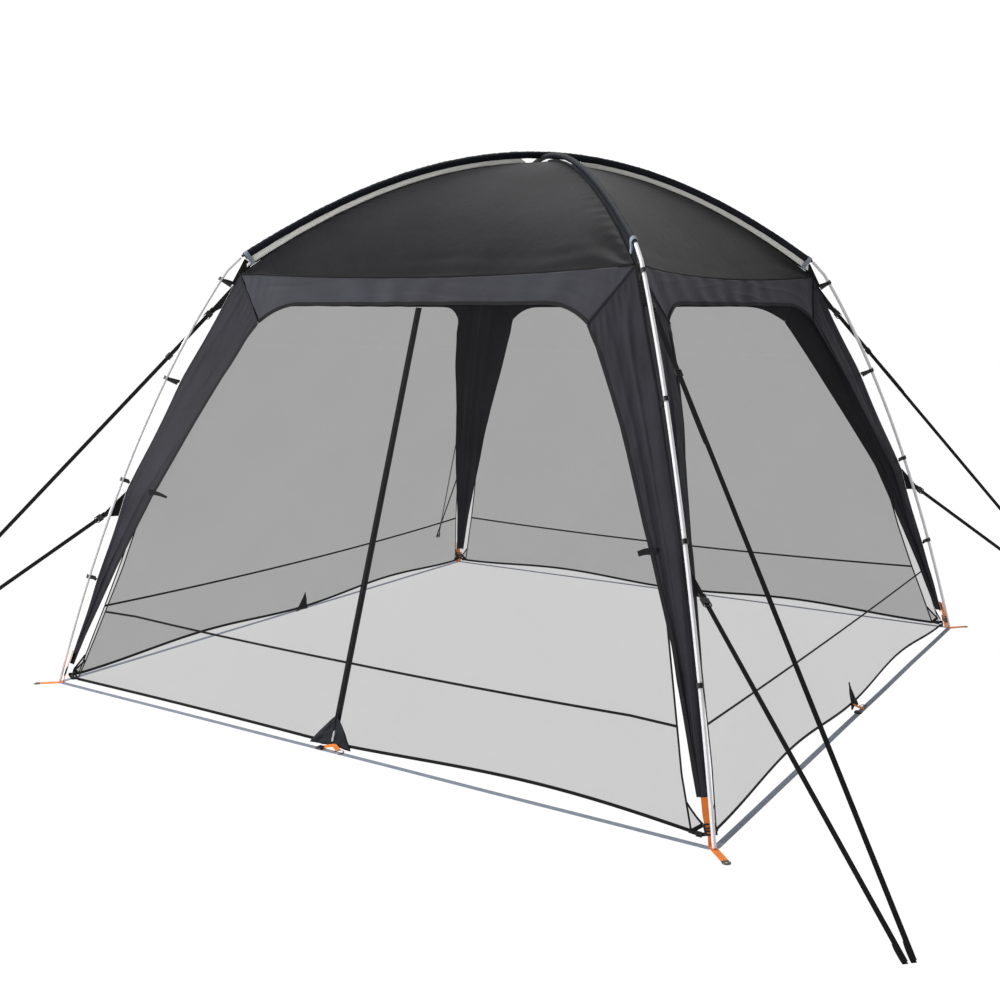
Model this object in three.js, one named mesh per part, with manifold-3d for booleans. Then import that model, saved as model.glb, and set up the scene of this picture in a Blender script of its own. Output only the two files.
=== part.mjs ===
// Screen house: a square camping shelter on two crossed hoop poles, with a dark fabric roof,
// four fabric corner skirts, four mesh walls, a zipped front door and eight webbing guys.
// Millimetres, +Z up. The origin is the middle of the footprint on the ground; the door faces -Y.

import * as THREE from 'three';
import { mergeVertices } from 'three/addons/utils/BufferGeometryUtils.js';
import Module from 'manifold-3d';

const wasm = await Module();
wasm.setup();

// ---- driving dimensions ----------------------------------------------------------------------

const FOOT = 1500;              // half the distance between neighbouring legs, on the ground
const FOOT_R = FOOT * Math.SQRT2;
const SHEET = 4;                // thickness that stands for a layer of fabric
const GAP = 2;                  // clearance between neighbouring fabric panels

// Hoop poles, as radius from the vertical axis (R) and height (Z)
const POLE_RADIUS = 6;
const POLE_END_R = 1298;
const POLE_END_Z = 1800;
const POLE_TOP = { a: 2252, b: 2234 };   // the front-right to back-left pole (b) crosses below
const SAG = 9;                  // how far hoops and roof seams lie below a parabola, at the most
const SLEEVE_RADIUS = 10;
const SLEEVE_BORE = 7.6;
const SLEEVE_END_R = 1290;
const FIN = 3;                  // thickness of the web that hangs the roof under a pole

// Legs
const LEG_RADIUS = 7;
const LEG_TOP = [1302, 1797];
const ELBOW = [1339, 1773];
const LEG_BEND = [1370, 1728];
const LEG_BOW = [1800, 1100];
const LEG_FOOT = [FOOT_R, 5];

// Corner seam of the fabric: height and half-width of the body at that height
const CORNER_SEAM = [[75, 1469], [700, 1310], [823, 1278], [1300, 1101], [1727, 925]];
const EAVE_Z = 1727;            // where roof and skirt meet at a corner
const EAVE_MID_Z = 1698;        // the eave seam halfway along a wall
const BOW = [10, 65];           // how far a wall is drawn in at its middle, at the ground and the eave
const SEAM_TOP = 2210;          // where the four roof panels meet
const SEAM_FALL = 0.000278;     // fall of the roof seam: SEAM_FALL * r * r, and the sag
const VALANCE_Z = 1600;         // straight lower edge of the valance
const MITRE = [232, 1528];      // lower end of the mitre seam: distance from the corner, height
const SKIRT_BOTTOM = 95;

// Mesh walls
const MESH_INSET = 12;          // the mesh hangs this far inside the fabric
const MESH_TOP = 1650;
const HEM_Z = 20;
const ZIP_TOP_Z = 1590;
const ZIP_HALF = 9;             // a door leaf ends this far from the zip's middle
const HINGE_GAP = 4;

// Webbing and hardware
const CLIP_HEIGHTS = [1705, 1295, 870, 458];
const STRAP_WIDTH = 25;
const STRAP_THICK = 1.6;
const WEB_THICK = 2.4;
const GUY_WIDTH = 16;
const GUY_THICK = 2.4;
const GUY_END_Z = 11;
const RUNNER = { along: 340, wide: 24, thick: 9, long: 26, clear: 0.5 };

// Corners: heading of each leg from the middle, the pole that it carries, and its guys.
// side is the side of the leg that the guys pass on, peg is [radius, offset] of the peg, flat says
// whether the webbing's face is square to the leg's plane or in it.
const CORNERS = [
  { name: 'front_left', heading: -135, side: -1, peg: [2941, 0], flat: false },
  { name: 'front_right', heading: -45, side: 1, peg: [2821, 219], flat: true },
  { name: 'back_right', heading: 45, side: 1, peg: [2941, 0], flat: false },
  { name: 'back_left', heading: 135, side: -1, peg: [2941, 0], flat: false },
];
const WALLS = [
  { name: 'front', heading: 0 },
  { name: 'right', heading: 90 },
  { name: 'back', heading: 180 },
  { name: 'left', heading: -90 },
];

// ---- materials -------------------------------------------------------------------------------

const material = (color, roughness, metalness = 0) =>
  new THREE.MeshStandardMaterial({ color, roughness, metalness });
const PAINTED_STEEL = material(0xe9e9ec, 0.35, 0.1);
const FIBREGLASS = material(0x2b2d31, 0.5);
const ROOF_FABRIC = material(0x3f4045, 0.8);
const SKIRT_FABRIC = material(0x37373d, 0.8);
const SLEEVE_FABRIC = material(0x1d212c, 0.8);
const MESH_FABRIC = material(0x8f8f8f, 0.9);
const BLACK_PLASTIC = material(0x1c1c1e, 0.45);
const BLACK_WEBBING = material(0x26272a, 0.85);
const GREY_WEBBING = material(0x8d93a1, 0.85);
const ORANGE_WEBBING = material(0xee7d2e, 0.8);
const ZINC = material(0x8b8c8e, 0.35, 0.9);

// ---- helpers ---------------------------------------------------------------------------------

const group = new THREE.Group();
const rad = THREE.MathUtils.degToRad;
const lerp = THREE.MathUtils.lerp;
const v3 = (x, y, z) => new THREE.Vector3(x, y, z);

function addMesh(parent, name, geometry, look) {
  const mesh = new THREE.Mesh(geometry, look);
  mesh.name = name;
  parent.add(mesh);
  return mesh;
}

function turned(heading, parent = group) {
  const frame = new THREE.Group();
  frame.rotation.z = rad(heading);
  parent.add(frame);
  return frame;
}

// Piecewise straight line through [input, output] pairs
function along(table, t) {
  let i = 1;
  while (i < table.length - 1 && t > table[i][0]) i += 1;
  const [[t0, a], [t1, b]] = [table[i - 1], table[i]];
  return a + ((b - a) * (t - t0)) / (t1 - t0);
}

// Closed solid between two grids of points of the same size
function solidBetween(outer, inner) {
  const rows = outer.length;
  const columns = outer[0].length;
  const points = [...outer.flat(), ...inner.flat()];
  const at = (row, column, layer) => layer * rows * columns + row * columns + column;
  const index = [];
  const quad = (a, b, c, d) => index.push(a, b, c, a, c, d);
  for (let r = 0; r < rows - 1; r += 1) {
    for (let c = 0; c < columns - 1; c += 1) {
      quad(at(r, c, 0), at(r, c + 1, 0), at(r + 1, c + 1, 0), at(r + 1, c, 0));
      quad(at(r, c, 1), at(r + 1, c, 1), at(r + 1, c + 1, 1), at(r, c + 1, 1));
    }
    quad(at(r, 0, 0), at(r + 1, 0, 0), at(r + 1, 0, 1), at(r, 0, 1));
    const e = columns - 1;
    quad(at(r, e, 0), at(r, e, 1), at(r + 1, e, 1), at(r + 1, e, 0));
  }
  for (let c = 0; c < columns - 1; c += 1) {
    quad(at(0, c, 0), at(0, c, 1), at(0, c + 1, 1), at(0, c + 1, 0));
    const e = rows - 1;
    quad(at(e, c, 0), at(e, c + 1, 0), at(e, c + 1, 1), at(e, c, 1));
  }
  return facingOut(points, index);
}

// Indexed geometry whose triangles face out
function facingOut(points, index) {
  let volume = 0;
  for (let i = 0; i < index.length; i += 3) {
    const [a, b, c] = [points[index[i]], points[index[i + 1]], points[index[i + 2]]];
    volume += a.dot(b.clone().cross(c));
  }
  if (volume < 0) index.reverse();
  const geometry = new THREE.BufferGeometry();
  geometry.setAttribute('position', new THREE.Float32BufferAttribute(points.flatMap((p) => p.toArray()), 3));
  geometry.setIndex(index);
  geometry.computeVertexNormals();
  return geometry;
}

function toSolid(geometry) {
  const bare = geometry.clone();
  bare.deleteAttribute('normal');
  bare.deleteAttribute('uv');
  const merged = mergeVertices(bare, 1e-3);
  return new wasm.Manifold(new wasm.Mesh({
    numProp: 3,
    vertProperties: merged.attributes.position.array,
    triVerts: new Uint32Array(merged.index.array),
  }));
}

function fromSolid(solid) {
  const mesh = solid.getMesh();
  const geometry = new THREE.BufferGeometry();
  geometry.setAttribute('position', new THREE.BufferAttribute(new Float32Array(mesh.vertProperties), 3));
  geometry.setIndex(new THREE.BufferAttribute(new Uint32Array(mesh.triVerts), 1));
  geometry.computeVertexNormals();
  return geometry;
}

function circle(radius, sides) {
  const corners = [];
  for (let i = 0; i < sides; i += 1) {
    const turn = ((i + 0.5) / sides) * 2 * Math.PI;
    corners.push(new THREE.Vector2(radius * Math.cos(turn), radius * Math.sin(turn)));
  }
  return new THREE.Shape(corners);
}

function rod(path, radius, steps, sides = 8) {
  return new THREE.ExtrudeGeometry(circle(radius, sides), { extrudePath: path, steps, bevelEnabled: false });
}

// Outline in the X-Z plane, extruded to the given width about Y = 0
function plateXZ(outline, width) {
  const shape = new THREE.Shape(outline.map(([x, z]) => new THREE.Vector2(x, z)));
  const geometry = new THREE.ExtrudeGeometry(shape, { depth: width, bevelEnabled: false });
  geometry.rotateX(Math.PI / 2);
  geometry.translate(0, width / 2, 0);
  return geometry;
}

// ---- shared outlines of the body -------------------------------------------------------------

// Half-width of the body at a height, along the corner seam
const halfWidth = (z) => along(CORNER_SEAM, z);

// Wall surface in a wall's own frame: the wall faces -Y and x runs along it
function wallPoint(x, z, inset = 0) {
  const half = halfWidth(z);
  const bow = lerp(...BOW, z / EAVE_Z);
  return v3(x, -(half - bow * (1 - (x / half) ** 2)) + inset, z);
}

function sag(r) {
  const s = (r / POLE_END_R) ** 2;
  return 4 * SAG * s * (1 - s);
}
const seamHeight = (r) => SEAM_TOP - SEAM_FALL * r * r - sag(r);

// Distance from the corner seam to the skirt's free edge, and to the mesh's taped edge
const SKIRT_EDGE = [[SKIRT_BOTTOM, 20], [320, 42], [520, 70], [900, 126], [1110, 163], [1300, 198], [1400, 212]];
const MESH_EDGE = [[HEM_Z, 56], [200, 70], [320, 80], [520, 90], [MESH_TOP, 90]];

// ---- poles and legs --------------------------------------------------------------------------

function polePath(top, end, steps) {
  const fall = (top - POLE_END_Z) / POLE_END_R ** 2;
  const points = [];
  for (let i = 0; i <= steps; i += 1) {
    const r = lerp(-end, end, i / steps);
    points.push(v3(r, 0, top - fall * r * r - sag(r)));
  }
  return new THREE.CatmullRomCurve3(points);
}

function roofPole(name, heading, top) {
  addMesh(turned(heading), name, rod(polePath(top, POLE_END_R, 24), POLE_RADIUS, 24), FIBREGLASS);
}

function legPath() {
  const flat = ([r, z]) => v3(r, 0, z);
  const elbow = new THREE.QuadraticBezierCurve3(flat(LEG_TOP), flat(ELBOW), flat(LEG_BEND));
  const shank = new THREE.QuadraticBezierCurve3(flat(LEG_BEND), flat(LEG_BOW), flat(LEG_FOOT));
  return new THREE.CatmullRomCurve3([...elbow.getPoints(5), ...shank.getPoints(20).slice(1)]);
}
const LEG_PATH = legPath();

// The leg's point nearest to a height, and its direction there
function legAt(z) {
  let [low, high] = [0, 1];
  for (let i = 0; i < 30; i += 1) {
    const mid = (low + high) / 2;
    if (LEG_PATH.getPoint(mid).z > z) low = mid;
    else high = mid;
  }
  return { point: LEG_PATH.getPoint(low), tangent: LEG_PATH.getTangent(low) };
}

// ---- pole sleeves ----------------------------------------------------------------------------

// A sleeve is a fabric tube round the pole over a thin web that reaches down to the roof seam
function sleeve(heading, top) {
  const path = polePath(top, SLEEVE_END_R, 24);
  const upper = path.getPoints(24).map((p) => [p.x, p.z]);
  const lower = upper.map(([r]) => [r, seamHeight(r) + GAP]).reverse();
  const place = (geometry) => geometry.rotateZ(rad(heading));
  return {
    tube: toSolid(place(rod(path, SLEEVE_RADIUS, 24))),
    web: toSolid(place(plateXZ([...upper, ...lower], FIN))),
    bore: toSolid(place(rod(polePath(top, SLEEVE_END_R + 60, 24), SLEEVE_BORE, 24))),
  };
}

function poleSleeves() {
  const pair = [sleeve(45, POLE_TOP.a), sleeve(135, POLE_TOP.b)];
  let cross = pair[0].tube.add(pair[0].web).add(pair[1].tube).add(pair[1].web);
  for (const { bore } of pair) cross = cross.subtract(bore);
  addMesh(group, 'pole_sleeves', fromSolid(cross), SLEEVE_FABRIC);
}

// ---- roof ------------------------------------------------------------------------------------

const ACROSS = [-1, -0.8, -0.5, -0.2, 0, 0.2, 0.5, 0.8, 1];

// Lower edge of the valance: height at a distance s from the corner seam
function valanceEdge(s) {
  const flatFrom = 430;
  if (s >= flatFrom) return VALANCE_Z;
  const t = (flatFrom - s) / (flatFrom - MITRE[0]);
  return VALANCE_Z - (VALANCE_Z - MITRE[1]) * t * t;
}

// One roof panel: a three-sided gore from the top to the eave, and the valance below it
function roofPanel(wall) {
  const rows = [12, 120, 260, 400, 540, 680, 800, 880].map((d) => ACROSS.map((u) => {
    const share = (d / halfWidth(EAVE_Z)) ** 2;
    const drawn = 1 - u * u;
    return v3(u * (d - GAP), -(d - BOW[1] * share * drawn),
      seamHeight(d * Math.SQRT2) - (EAVE_Z - EAVE_MID_Z) * share * drawn);
  }));
  rows.push(ACROSS.map((u) => {
    const z = EAVE_MID_Z + (EAVE_Z - EAVE_MID_Z) * u * u;
    return wallPoint(u * (halfWidth(EAVE_Z) - GAP), z);
  }));
  rows.push(ACROSS.map((u) => {
    const s = lerp(halfWidth(VALANCE_Z), MITRE[0], Math.abs(u));
    const z = valanceEdge(s) + GAP;
    return wallPoint(Math.sign(u) * (halfWidth(z) - s), z);
  }));
  const inner = rows.map((row, r) => {
    const before = rows[Math.max(r - 1, 0)][4];
    const after = rows[Math.min(r + 1, rows.length - 1)][4];
    const slope = after.clone().sub(before).normalize();
    const inward = v3(0, -slope.z, slope.y).multiplyScalar(SHEET);
    return row.map((p) => {
      const q = p.clone().add(inward);
      const limit = Math.abs(q.y) - GAP;
      q.x = THREE.MathUtils.clamp(q.x, -limit, limit);
      return q;
    });
  });
  addMesh(turned(wall.heading), `roof_panel_${wall.name}`, solidBetween(rows, inner), ROOF_FABRIC);
}

// ---- corner skirts ---------------------------------------------------------------------------

// Folded along the corner seam, in the frame of the wall to the skirt's right
function cornerSkirt(corner) {
  const [mitreS, mitreZ] = MITRE;
  const heights = [SKIRT_BOTTOM, 320, 520, 700, 823, 1110, 1300, 1400, null];
  const across = [-1, -0.5, 0, 0.5, 1];
  const point = (u, z, inset) => {
    const share = Math.abs(u);
    const top = EAVE_Z - GAP - ((EAVE_Z - mitreZ) * share);
    const height = z === null ? top : z;
    const s = share * (z === null ? mitreS : along(SKIRT_EDGE, z));
    const half = halfWidth(height);
    const face = wallPoint(half - s, height, inset);
    const depth = -face.y;
    const side = u === 0 ? half - inset : half - s;
    return u < 0 ? v3(side, -depth, height) : v3(depth, -side, height);
  };
  const grid = (inset) => heights.map((z) => across.map((u) => point(u, z, inset)));
  const frame = turned(corner.heading + 45);
  addMesh(frame, `corner_skirt_${corner.name}`, solidBetween(grid(0), grid(SHEET)), SKIRT_FABRIC);
}

// ---- mesh walls and door ---------------------------------------------------------------------

// Hem of a closed wall: low at the corners and at the tie in the middle
const hemHeight = (u) => HEM_Z + 34 * Math.sin(2 * Math.PI * Math.min(Math.abs(u), 1) * 0.5) ** 2;

function meshWall(wall) {
  const heights = [0, 200, 320, 520, 700, 823, 1110, 1300, MESH_TOP];
  const grid = (inset) => heights.map((z) => ACROSS.map((u) => {
    const height = z === 0 ? hemHeight(u) : z;
    return wallPoint(u * (halfWidth(height) - along(MESH_EDGE, height)), height, inset);
  }));
  addMesh(turned(wall.heading), `mesh_wall_${wall.name}`,
    solidBetween(grid(MESH_INSET), grid(MESH_INSET + SHEET)), MESH_FABRIC);
}

// Zip line and the fold lines that the door leaves swing on
const ZIP_TOP = wallPoint(0, ZIP_TOP_Z, MESH_INSET);
const ZIP_FOOT = wallPoint(0, HEM_Z, MESH_INSET);
const foldFoot = (side) => {
  const z = HEM_Z + 7;
  return wallPoint(side * (halfWidth(z) - 75), z, MESH_INSET);
};

// Frame of a door leaf: x along its fold line, y in the leaf towards the zip, z out of the wall
function leafFrame(side) {
  const fold = foldFoot(side).sub(ZIP_TOP);
  const length = fold.length();
  const e1 = fold.normalize();
  const toZip = ZIP_FOOT.clone().sub(ZIP_TOP);
  const e2 = toZip.clone().sub(e1.clone().multiplyScalar(toZip.dot(e1))).normalize();
  const e3 = e1.clone().cross(e2);
  return { length, foot: [toZip.dot(e1), toZip.dot(e2)], e1, e2, e3 };
}

function doorLeaf(name, side) {
  const { length, foot, e1, e2, e3 } = leafFrame(side);
  const zipLength = Math.hypot(...foot);
  const [c, s] = [foot[0] / zipLength, foot[1] / zipLength];
  // along the zip by t, off its middle line by ZIP_HALF
  const zipEdge = (t) => [t * c + ZIP_HALF * s, t * s - ZIP_HALF * c];
  const start = (ZIP_HALF * c + HINGE_GAP) / s;
  const shape = new THREE.Shape();
  const [bx, by] = zipEdge(zipLength);
  shape.moveTo(...zipEdge(start + 40));
  shape.lineTo(bx, by);
  const end = [length - 60, HINGE_GAP];
  const mid = [(bx + end[0]) / 2 - 34 * s, (by + end[1]) / 2 - 34 * c];
  shape.quadraticCurveTo(...mid, ...end);
  shape.lineTo(start + 60, HINGE_GAP);
  const geometry = new THREE.ExtrudeGeometry(shape, { depth: SHEET, bevelEnabled: false, curveSegments: 8 });
  geometry.translate(0, 0, -SHEET / 2);
  const leaf = new THREE.Group();
  leaf.matrixAutoUpdate = false;
  leaf.matrix.makeBasis(e1, e2, e3).setPosition(ZIP_TOP);
  group.add(leaf);
  addMesh(leaf, name, geometry, MESH_FABRIC);
}

// Fixed mesh between a leaf's fold line and the skirt, closed at the top behind the valance
function frontMesh(name, side) {
  const foldEnd = foldFoot(side);
  const heights = [62, 200, 320, 520, 700, 823, 1110, 1300, 1500, ZIP_TOP_Z, MESH_TOP];
  const shares = [0, 0.25, 0.5, 0.75, 1];
  const grid = (inset) => heights.map((z) => shares.map((share) => {
    const t = Math.min((ZIP_TOP_Z - z) / (ZIP_TOP_Z - foldEnd.z), 1);
    const onFold = z < ZIP_TOP_Z
      ? ZIP_TOP.clone().lerp(foldEnd, t)
      : wallPoint(0, z, MESH_INSET);
    const x0 = onFold.x + side * HINGE_GAP * 1.4;
    const x1 = side * (halfWidth(z) - along(MESH_EDGE, z));
    const x = lerp(x0, x1, share);
    const sunk = onFold.y - wallPoint(onFold.x, z, MESH_INSET).y;
    return v3(x, wallPoint(x, z, MESH_INSET).y + sunk * (1 - share) + inset, z);
  }));
  addMesh(group, name, solidBetween(grid(-SHEET / 2), grid(SHEET / 2)), MESH_FABRIC);
}

// Zip slider and its pull, in a frame whose Z runs up the zip and -Y out of the wall
function zipParts() {
  const up = ZIP_TOP.clone().sub(ZIP_FOOT).normalize();
  const frame = new THREE.Group();
  frame.rotation.x = -Math.atan2(up.y, up.z);
  frame.position.copy(ZIP_FOOT).addScaledVector(up, 34);
  group.add(frame);
  const body = plateXZ([[-6, -12], [6, -12], [7, 2], [5, 12], [-5, 12], [-7, 2]], 9);
  const bridge = plateXZ([[-1.5, -7], [1.5, -7], [1.5, 7], [-1.5, 7]], 4).translate(0, -6, 0);
  addMesh(frame, 'zip_slider', fromSolid(toSolid(body).add(toSolid(bridge))), ZINC);
  const pull = plateXZ([[-3, 1], [3, 1], [4, -10], [4, -36], [-4, -36], [-4, -10]], 2);
  addMesh(frame, 'zip_pull', pull.translate(0, -9.5, 4), ZINC);
}

// ---- hardware at the corners -----------------------------------------------------------------

function leg(corner, frame) {
  addMesh(frame, `leg_${corner.name}`, rod(LEG_PATH, LEG_RADIUS, 24), PAINTED_STEEL);
}

// Hook round the leg, open at one side, with a webbing tab that reaches to the corner seam
function legClips(corner, frame) {
  CLIP_HEIGHTS.forEach((z, i) => {
    const { point, tangent } = legAt(z);
    let reach = 0;
    for (let round = 0; round < 8; round += 1) {
      const seam = halfWidth(point.z - reach * tangent.x) * Math.SQRT2;
      reach = (point.x - seam - 8) / -tangent.z;
    }
    const [inner, outer] = [LEG_RADIUS + 0.8, LEG_RADIUS + 4];
    const mouth = [rad(65), rad(135)];
    const shape = new THREE.Shape();
    shape.moveTo(-reach, -3);
    shape.lineTo(-Math.sqrt(outer ** 2 - 9), -3);
    shape.absarc(0, 0, outer, Math.PI + Math.asin(3 / outer), Math.PI * 2 + mouth[0], false);
    shape.absarc(0, 0, inner, Math.PI * 2 + mouth[0], mouth[1], true);
    shape.absarc(0, 0, outer, mouth[1], Math.PI - Math.asin(3 / outer), false);
    shape.lineTo(-reach, 3);
    shape.closePath();
    const tall = 16;
    const hook = new THREE.ExtrudeGeometry(shape, { depth: tall, bevelEnabled: false, curveSegments: 9 });
    hook.translate(0, 0, -tall / 2);
    const clip = addMesh(frame, `leg_clip_${corner.name}_${i + 1}`, hook, BLACK_PLASTIC);
    clip.position.copy(point);
    clip.rotation.y = Math.atan2(-tangent.x, -tangent.z);
  });
}

// Orange webbing from the skirt's tip, under the leg and out to an eyelet
function footWeb(corner, frame) {
  const onSkirt = (z) => v3(halfWidth(z) * Math.SQRT2 + 3.5, 0, z);
  const middle = new THREE.CatmullRomCurve3([
    onSkirt(138), onSkirt(80), v3(FOOT_R - 25, 0, 34), v3(FOOT_R - 19, 0, 12),
    v3(FOOT_R - 9, 0, WEB_THICK / 2), v3(FOOT_R + 40, 0, WEB_THICK / 2), v3(FOOT_R + 106, 0, WEB_THICK / 2),
  ], false, 'chordal');
  const [upper, under] = [[], []];
  const steps = 20;
  for (let i = 0; i <= steps; i += 1) {
    const p = middle.getPointAt(i / steps);
    const t = middle.getTangentAt(i / steps);
    const n = v3(-t.z, 0, t.x).multiplyScalar(WEB_THICK / 2);
    for (const [row, sign] of [[upper, 1], [under, -1]]) {
      const q = p.clone().addScaledVector(n, sign);
      row.push([-0.5, 0.5].map((share) => v3(q.x, share * STRAP_WIDTH, Math.max(q.z, 0))));
    }
  }
  const strip = toSolid(solidBetween(upper, under));
  const hole = new THREE.CylinderGeometry(6, 6, 30, 16).rotateX(Math.PI / 2);
  hole.translate(FOOT_R + 90, 0, 0);
  addMesh(frame, `foot_web_${corner.name}`, fromSolid(strip.subtract(toSolid(hole))), ORANGE_WEBBING);
}

// Guy webbing runs straight from the corner seam to its peg; the upper one carries a runner
function guys(corner, frame) {
  const levels = [
    { name: 'upper', z: 1630, start: 9, apart: 1 },
    { name: 'lower', z: 764, start: 9, apart: -1 },
  ];
  for (const { name, z, start, apart } of levels) {
    const beside = corner.flat ? GUY_WIDTH / 2 + 10 : LEG_RADIUS + RUNNER.thick / 2 + 0.8;
    const from = v3(halfWidth(z) * Math.SQRT2 + start, corner.side * beside, z);
    const spread = corner.flat ? GUY_WIDTH * 0.75 : GUY_THICK * 3;
    const to = v3(corner.peg[0], corner.peg[1] + corner.side * apart * spread, GUY_END_Z);
    const run = to.clone().sub(from);
    const length = run.length();
    const e3 = run.normalize();
    const level = v3(0, 1, 0);
    const up = level.clone().cross(e3).normalize();
    const width = corner.flat ? up.clone().cross(e3).normalize() : up;
    const thick = e3.clone().cross(width);
    const holder = new THREE.Group();
    holder.matrixAutoUpdate = false;
    holder.matrix.makeBasis(width, thick, e3).setPosition(from);
    frame.add(holder);
    const [w, t, c] = [GUY_WIDTH / 2, GUY_THICK / 2, 0.6];
    const section = new THREE.Shape([
      [-w, -t + c], [-w + c, -t], [w - c, -t], [w, -t + c],
      [w, t - c], [w - c, t], [-w + c, t], [-w, t - c],
    ].map(([x, y]) => new THREE.Vector2(x, y)));
    const strap = new THREE.ExtrudeGeometry(section, { depth: length, bevelEnabled: false });
    addMesh(holder, `guy_${name}_${corner.name}`, strap, BLACK_WEBBING);
    if (name === 'upper') addMesh(holder, `guy_runner_${corner.name}`, runner(), BLACK_PLASTIC);
  }
}

// Ladder-lock runner: a frame that slides on the webbing
function runner() {
  const box = (w, h) => [[-w, -h], [w, -h], [w, h], [-w, h]].map(([x, y]) => new THREE.Vector2(x, y));
  const shape = new THREE.Shape(box(RUNNER.wide / 2, RUNNER.thick / 2));
  shape.holes.push(new THREE.Path(box(GUY_WIDTH / 2 + RUNNER.clear, GUY_THICK / 2 + RUNNER.clear).reverse()));
  const geometry = new THREE.ExtrudeGeometry(shape, { depth: RUNNER.long, bevelEnabled: false });
  return geometry.translate(0, 0, RUNNER.along - RUNNER.long / 2);
}

function perimeterStrap(wall) {
  const length = 2 * (FOOT - 35);
  const strap = new THREE.BoxGeometry(length, STRAP_WIDTH, STRAP_THICK);
  strap.translate(0, -FOOT, STRAP_THICK / 2);
  addMesh(turned(wall.heading), `perimeter_strap_${wall.name}`, strap, GREY_WEBBING);
}

// ---- assembly --------------------------------------------------------------------------------

roofPole('roof_pole_a', 45, POLE_TOP.a);
roofPole('roof_pole_b', 135, POLE_TOP.b);
poleSleeves();
for (const wall of WALLS) {
  roofPanel(wall);
  perimeterStrap(wall);
  if (wall.name !== 'front') meshWall(wall);
}
for (const corner of CORNERS) {
  const frame = turned(corner.heading);
  leg(corner, frame);
  legClips(corner, frame);
  footWeb(corner, frame);
  guys(corner, frame);
  cornerSkirt(corner);
}
for (const [name, side] of [['left', -1], ['right', 1]]) {
  frontMesh(`front_mesh_${name}`, side);
  doorLeaf(`door_${name}`, side);
}
zipParts();

export default group;
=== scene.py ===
"""Screen house: the fabric, netting, webbing and small hardware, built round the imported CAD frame."""
import math

import bpy
import numpy as np
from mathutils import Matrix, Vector, noise


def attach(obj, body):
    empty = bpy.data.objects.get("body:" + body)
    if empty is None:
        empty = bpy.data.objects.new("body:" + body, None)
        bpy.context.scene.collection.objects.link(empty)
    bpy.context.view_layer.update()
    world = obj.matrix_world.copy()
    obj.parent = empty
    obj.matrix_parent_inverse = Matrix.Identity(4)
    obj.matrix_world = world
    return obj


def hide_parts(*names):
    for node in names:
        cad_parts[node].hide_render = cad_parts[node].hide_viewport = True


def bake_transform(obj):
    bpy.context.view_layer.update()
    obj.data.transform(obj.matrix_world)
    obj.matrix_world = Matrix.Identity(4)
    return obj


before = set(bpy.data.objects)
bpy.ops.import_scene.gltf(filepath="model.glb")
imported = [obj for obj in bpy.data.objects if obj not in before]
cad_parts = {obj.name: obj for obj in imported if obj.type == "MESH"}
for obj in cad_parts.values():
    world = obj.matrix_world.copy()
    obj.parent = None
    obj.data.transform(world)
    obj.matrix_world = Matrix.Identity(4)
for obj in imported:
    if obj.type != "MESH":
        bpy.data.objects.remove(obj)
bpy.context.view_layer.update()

# ---- sizes shared with the CAD model, in metres ----------------------------------------------

FOOT = 1.5
FOOT_R = FOOT * math.sqrt(2)
CORNER_SEAM = ((0.0, 1.488), (0.075, 1.469), (0.7, 1.31), (0.823, 1.278), (1.3, 1.101), (1.727, 0.925), (1.8, 0.895))
EAVE_Z = 1.727
EAVE_MID_Z = 1.698
BOW = (0.01, 0.065)
SEAM_TOP = 2.21
SEAM_FALL = 0.278
SAG = 0.009
POLE_END_R = 1.298
POLE_END_Z = 1.8
POLE_TOP = {"a": 2.252, "b": 2.234}
SLEEVE_END_R = 1.29
VALANCE_Z = 1.6
MITRE = (0.232, 1.528)
SKIRT_BOTTOM = 0.095
# Distance from the corner seam to a skirt's free edge and to the netting's taped edge, by height. The corners
# hang a little differently: a side is -1 for the part on the wall to the corner's right and 1 for the other.
SKIRT_EDGE = ((0.0, 0.018), (0.095, 0.02), (0.32, 0.042), (0.52, 0.07), (0.9, 0.126), (1.11, 0.163), (1.3, 0.198),
              (1.4, 0.212), (1.528, 0.232))
SKIRT_EDGES = {
    ("front_left", 1): ((0.08, 0.02), (0.2, 0.028), (0.5, 0.08), (0.85, 0.16), (1.35, 0.215), (1.46, 0.22),
                        (1.528, 0.232)),
    ("front_right", -1): ((0.1, 0.024), (0.2, 0.035), (0.55, 0.062), (0.9, 0.118), (1.2, 0.153), (1.45, 0.204),
                          (1.528, 0.232)),
    ("front_right", 1): ((0.1, 0.015), (0.25, 0.023), (0.55, 0.06), (0.85, 0.08), (1.2, 0.176), (1.4, 0.205),
                         (1.48, 0.214), (1.528, 0.232)),
}
SKIRT_FEET = {"front_left": 0.082, "front_right": 0.131}
MESH_EDGE = ((0.0, 0.056), (0.2, 0.07), (0.32, 0.08), (0.52, 0.09), (1.65, 0.09))
MESH_EDGES = {
    ("front", -1): ((0.0, 0.066), (0.2, 0.088), (0.5, 0.114), (1.65, 0.12)),
    ("front", 1): ((0.0, 0.066), (0.18, 0.082), (0.53, 0.082), (1.65, 0.09)),
    ("right", -1): ((0.0, 0.06), (0.2, 0.08), (1.65, 0.076)),
}
MESH_INSET = 0.012
MESH_TOP = 1.65
HEM_Z = 0.02
ZIP_TOP_Z = 1.59
TAPE_Z = 0.315
TAPE_OFF = 0.0022
HEM_WIDTH, TAPE_WIDTH, SIDE_WIDTH = 0.012, 0.009, 0.0065
WEB_WIDTH, GROUND_WIDTH = 0.025, 0.0225
EYELET_OUT = 0.09
LEG_BEND, LEG_BOW = (1.37, 1.728), (1.8, 1.1)
CLIP_HEIGHTS = (1.705, 1.295, 0.87, 0.458)
GUY_WIDTH = 0.016
GUY_THICK = 0.0018
WALLS = {"front": 0, "right": 90, "back": 180, "left": -90}
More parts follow.
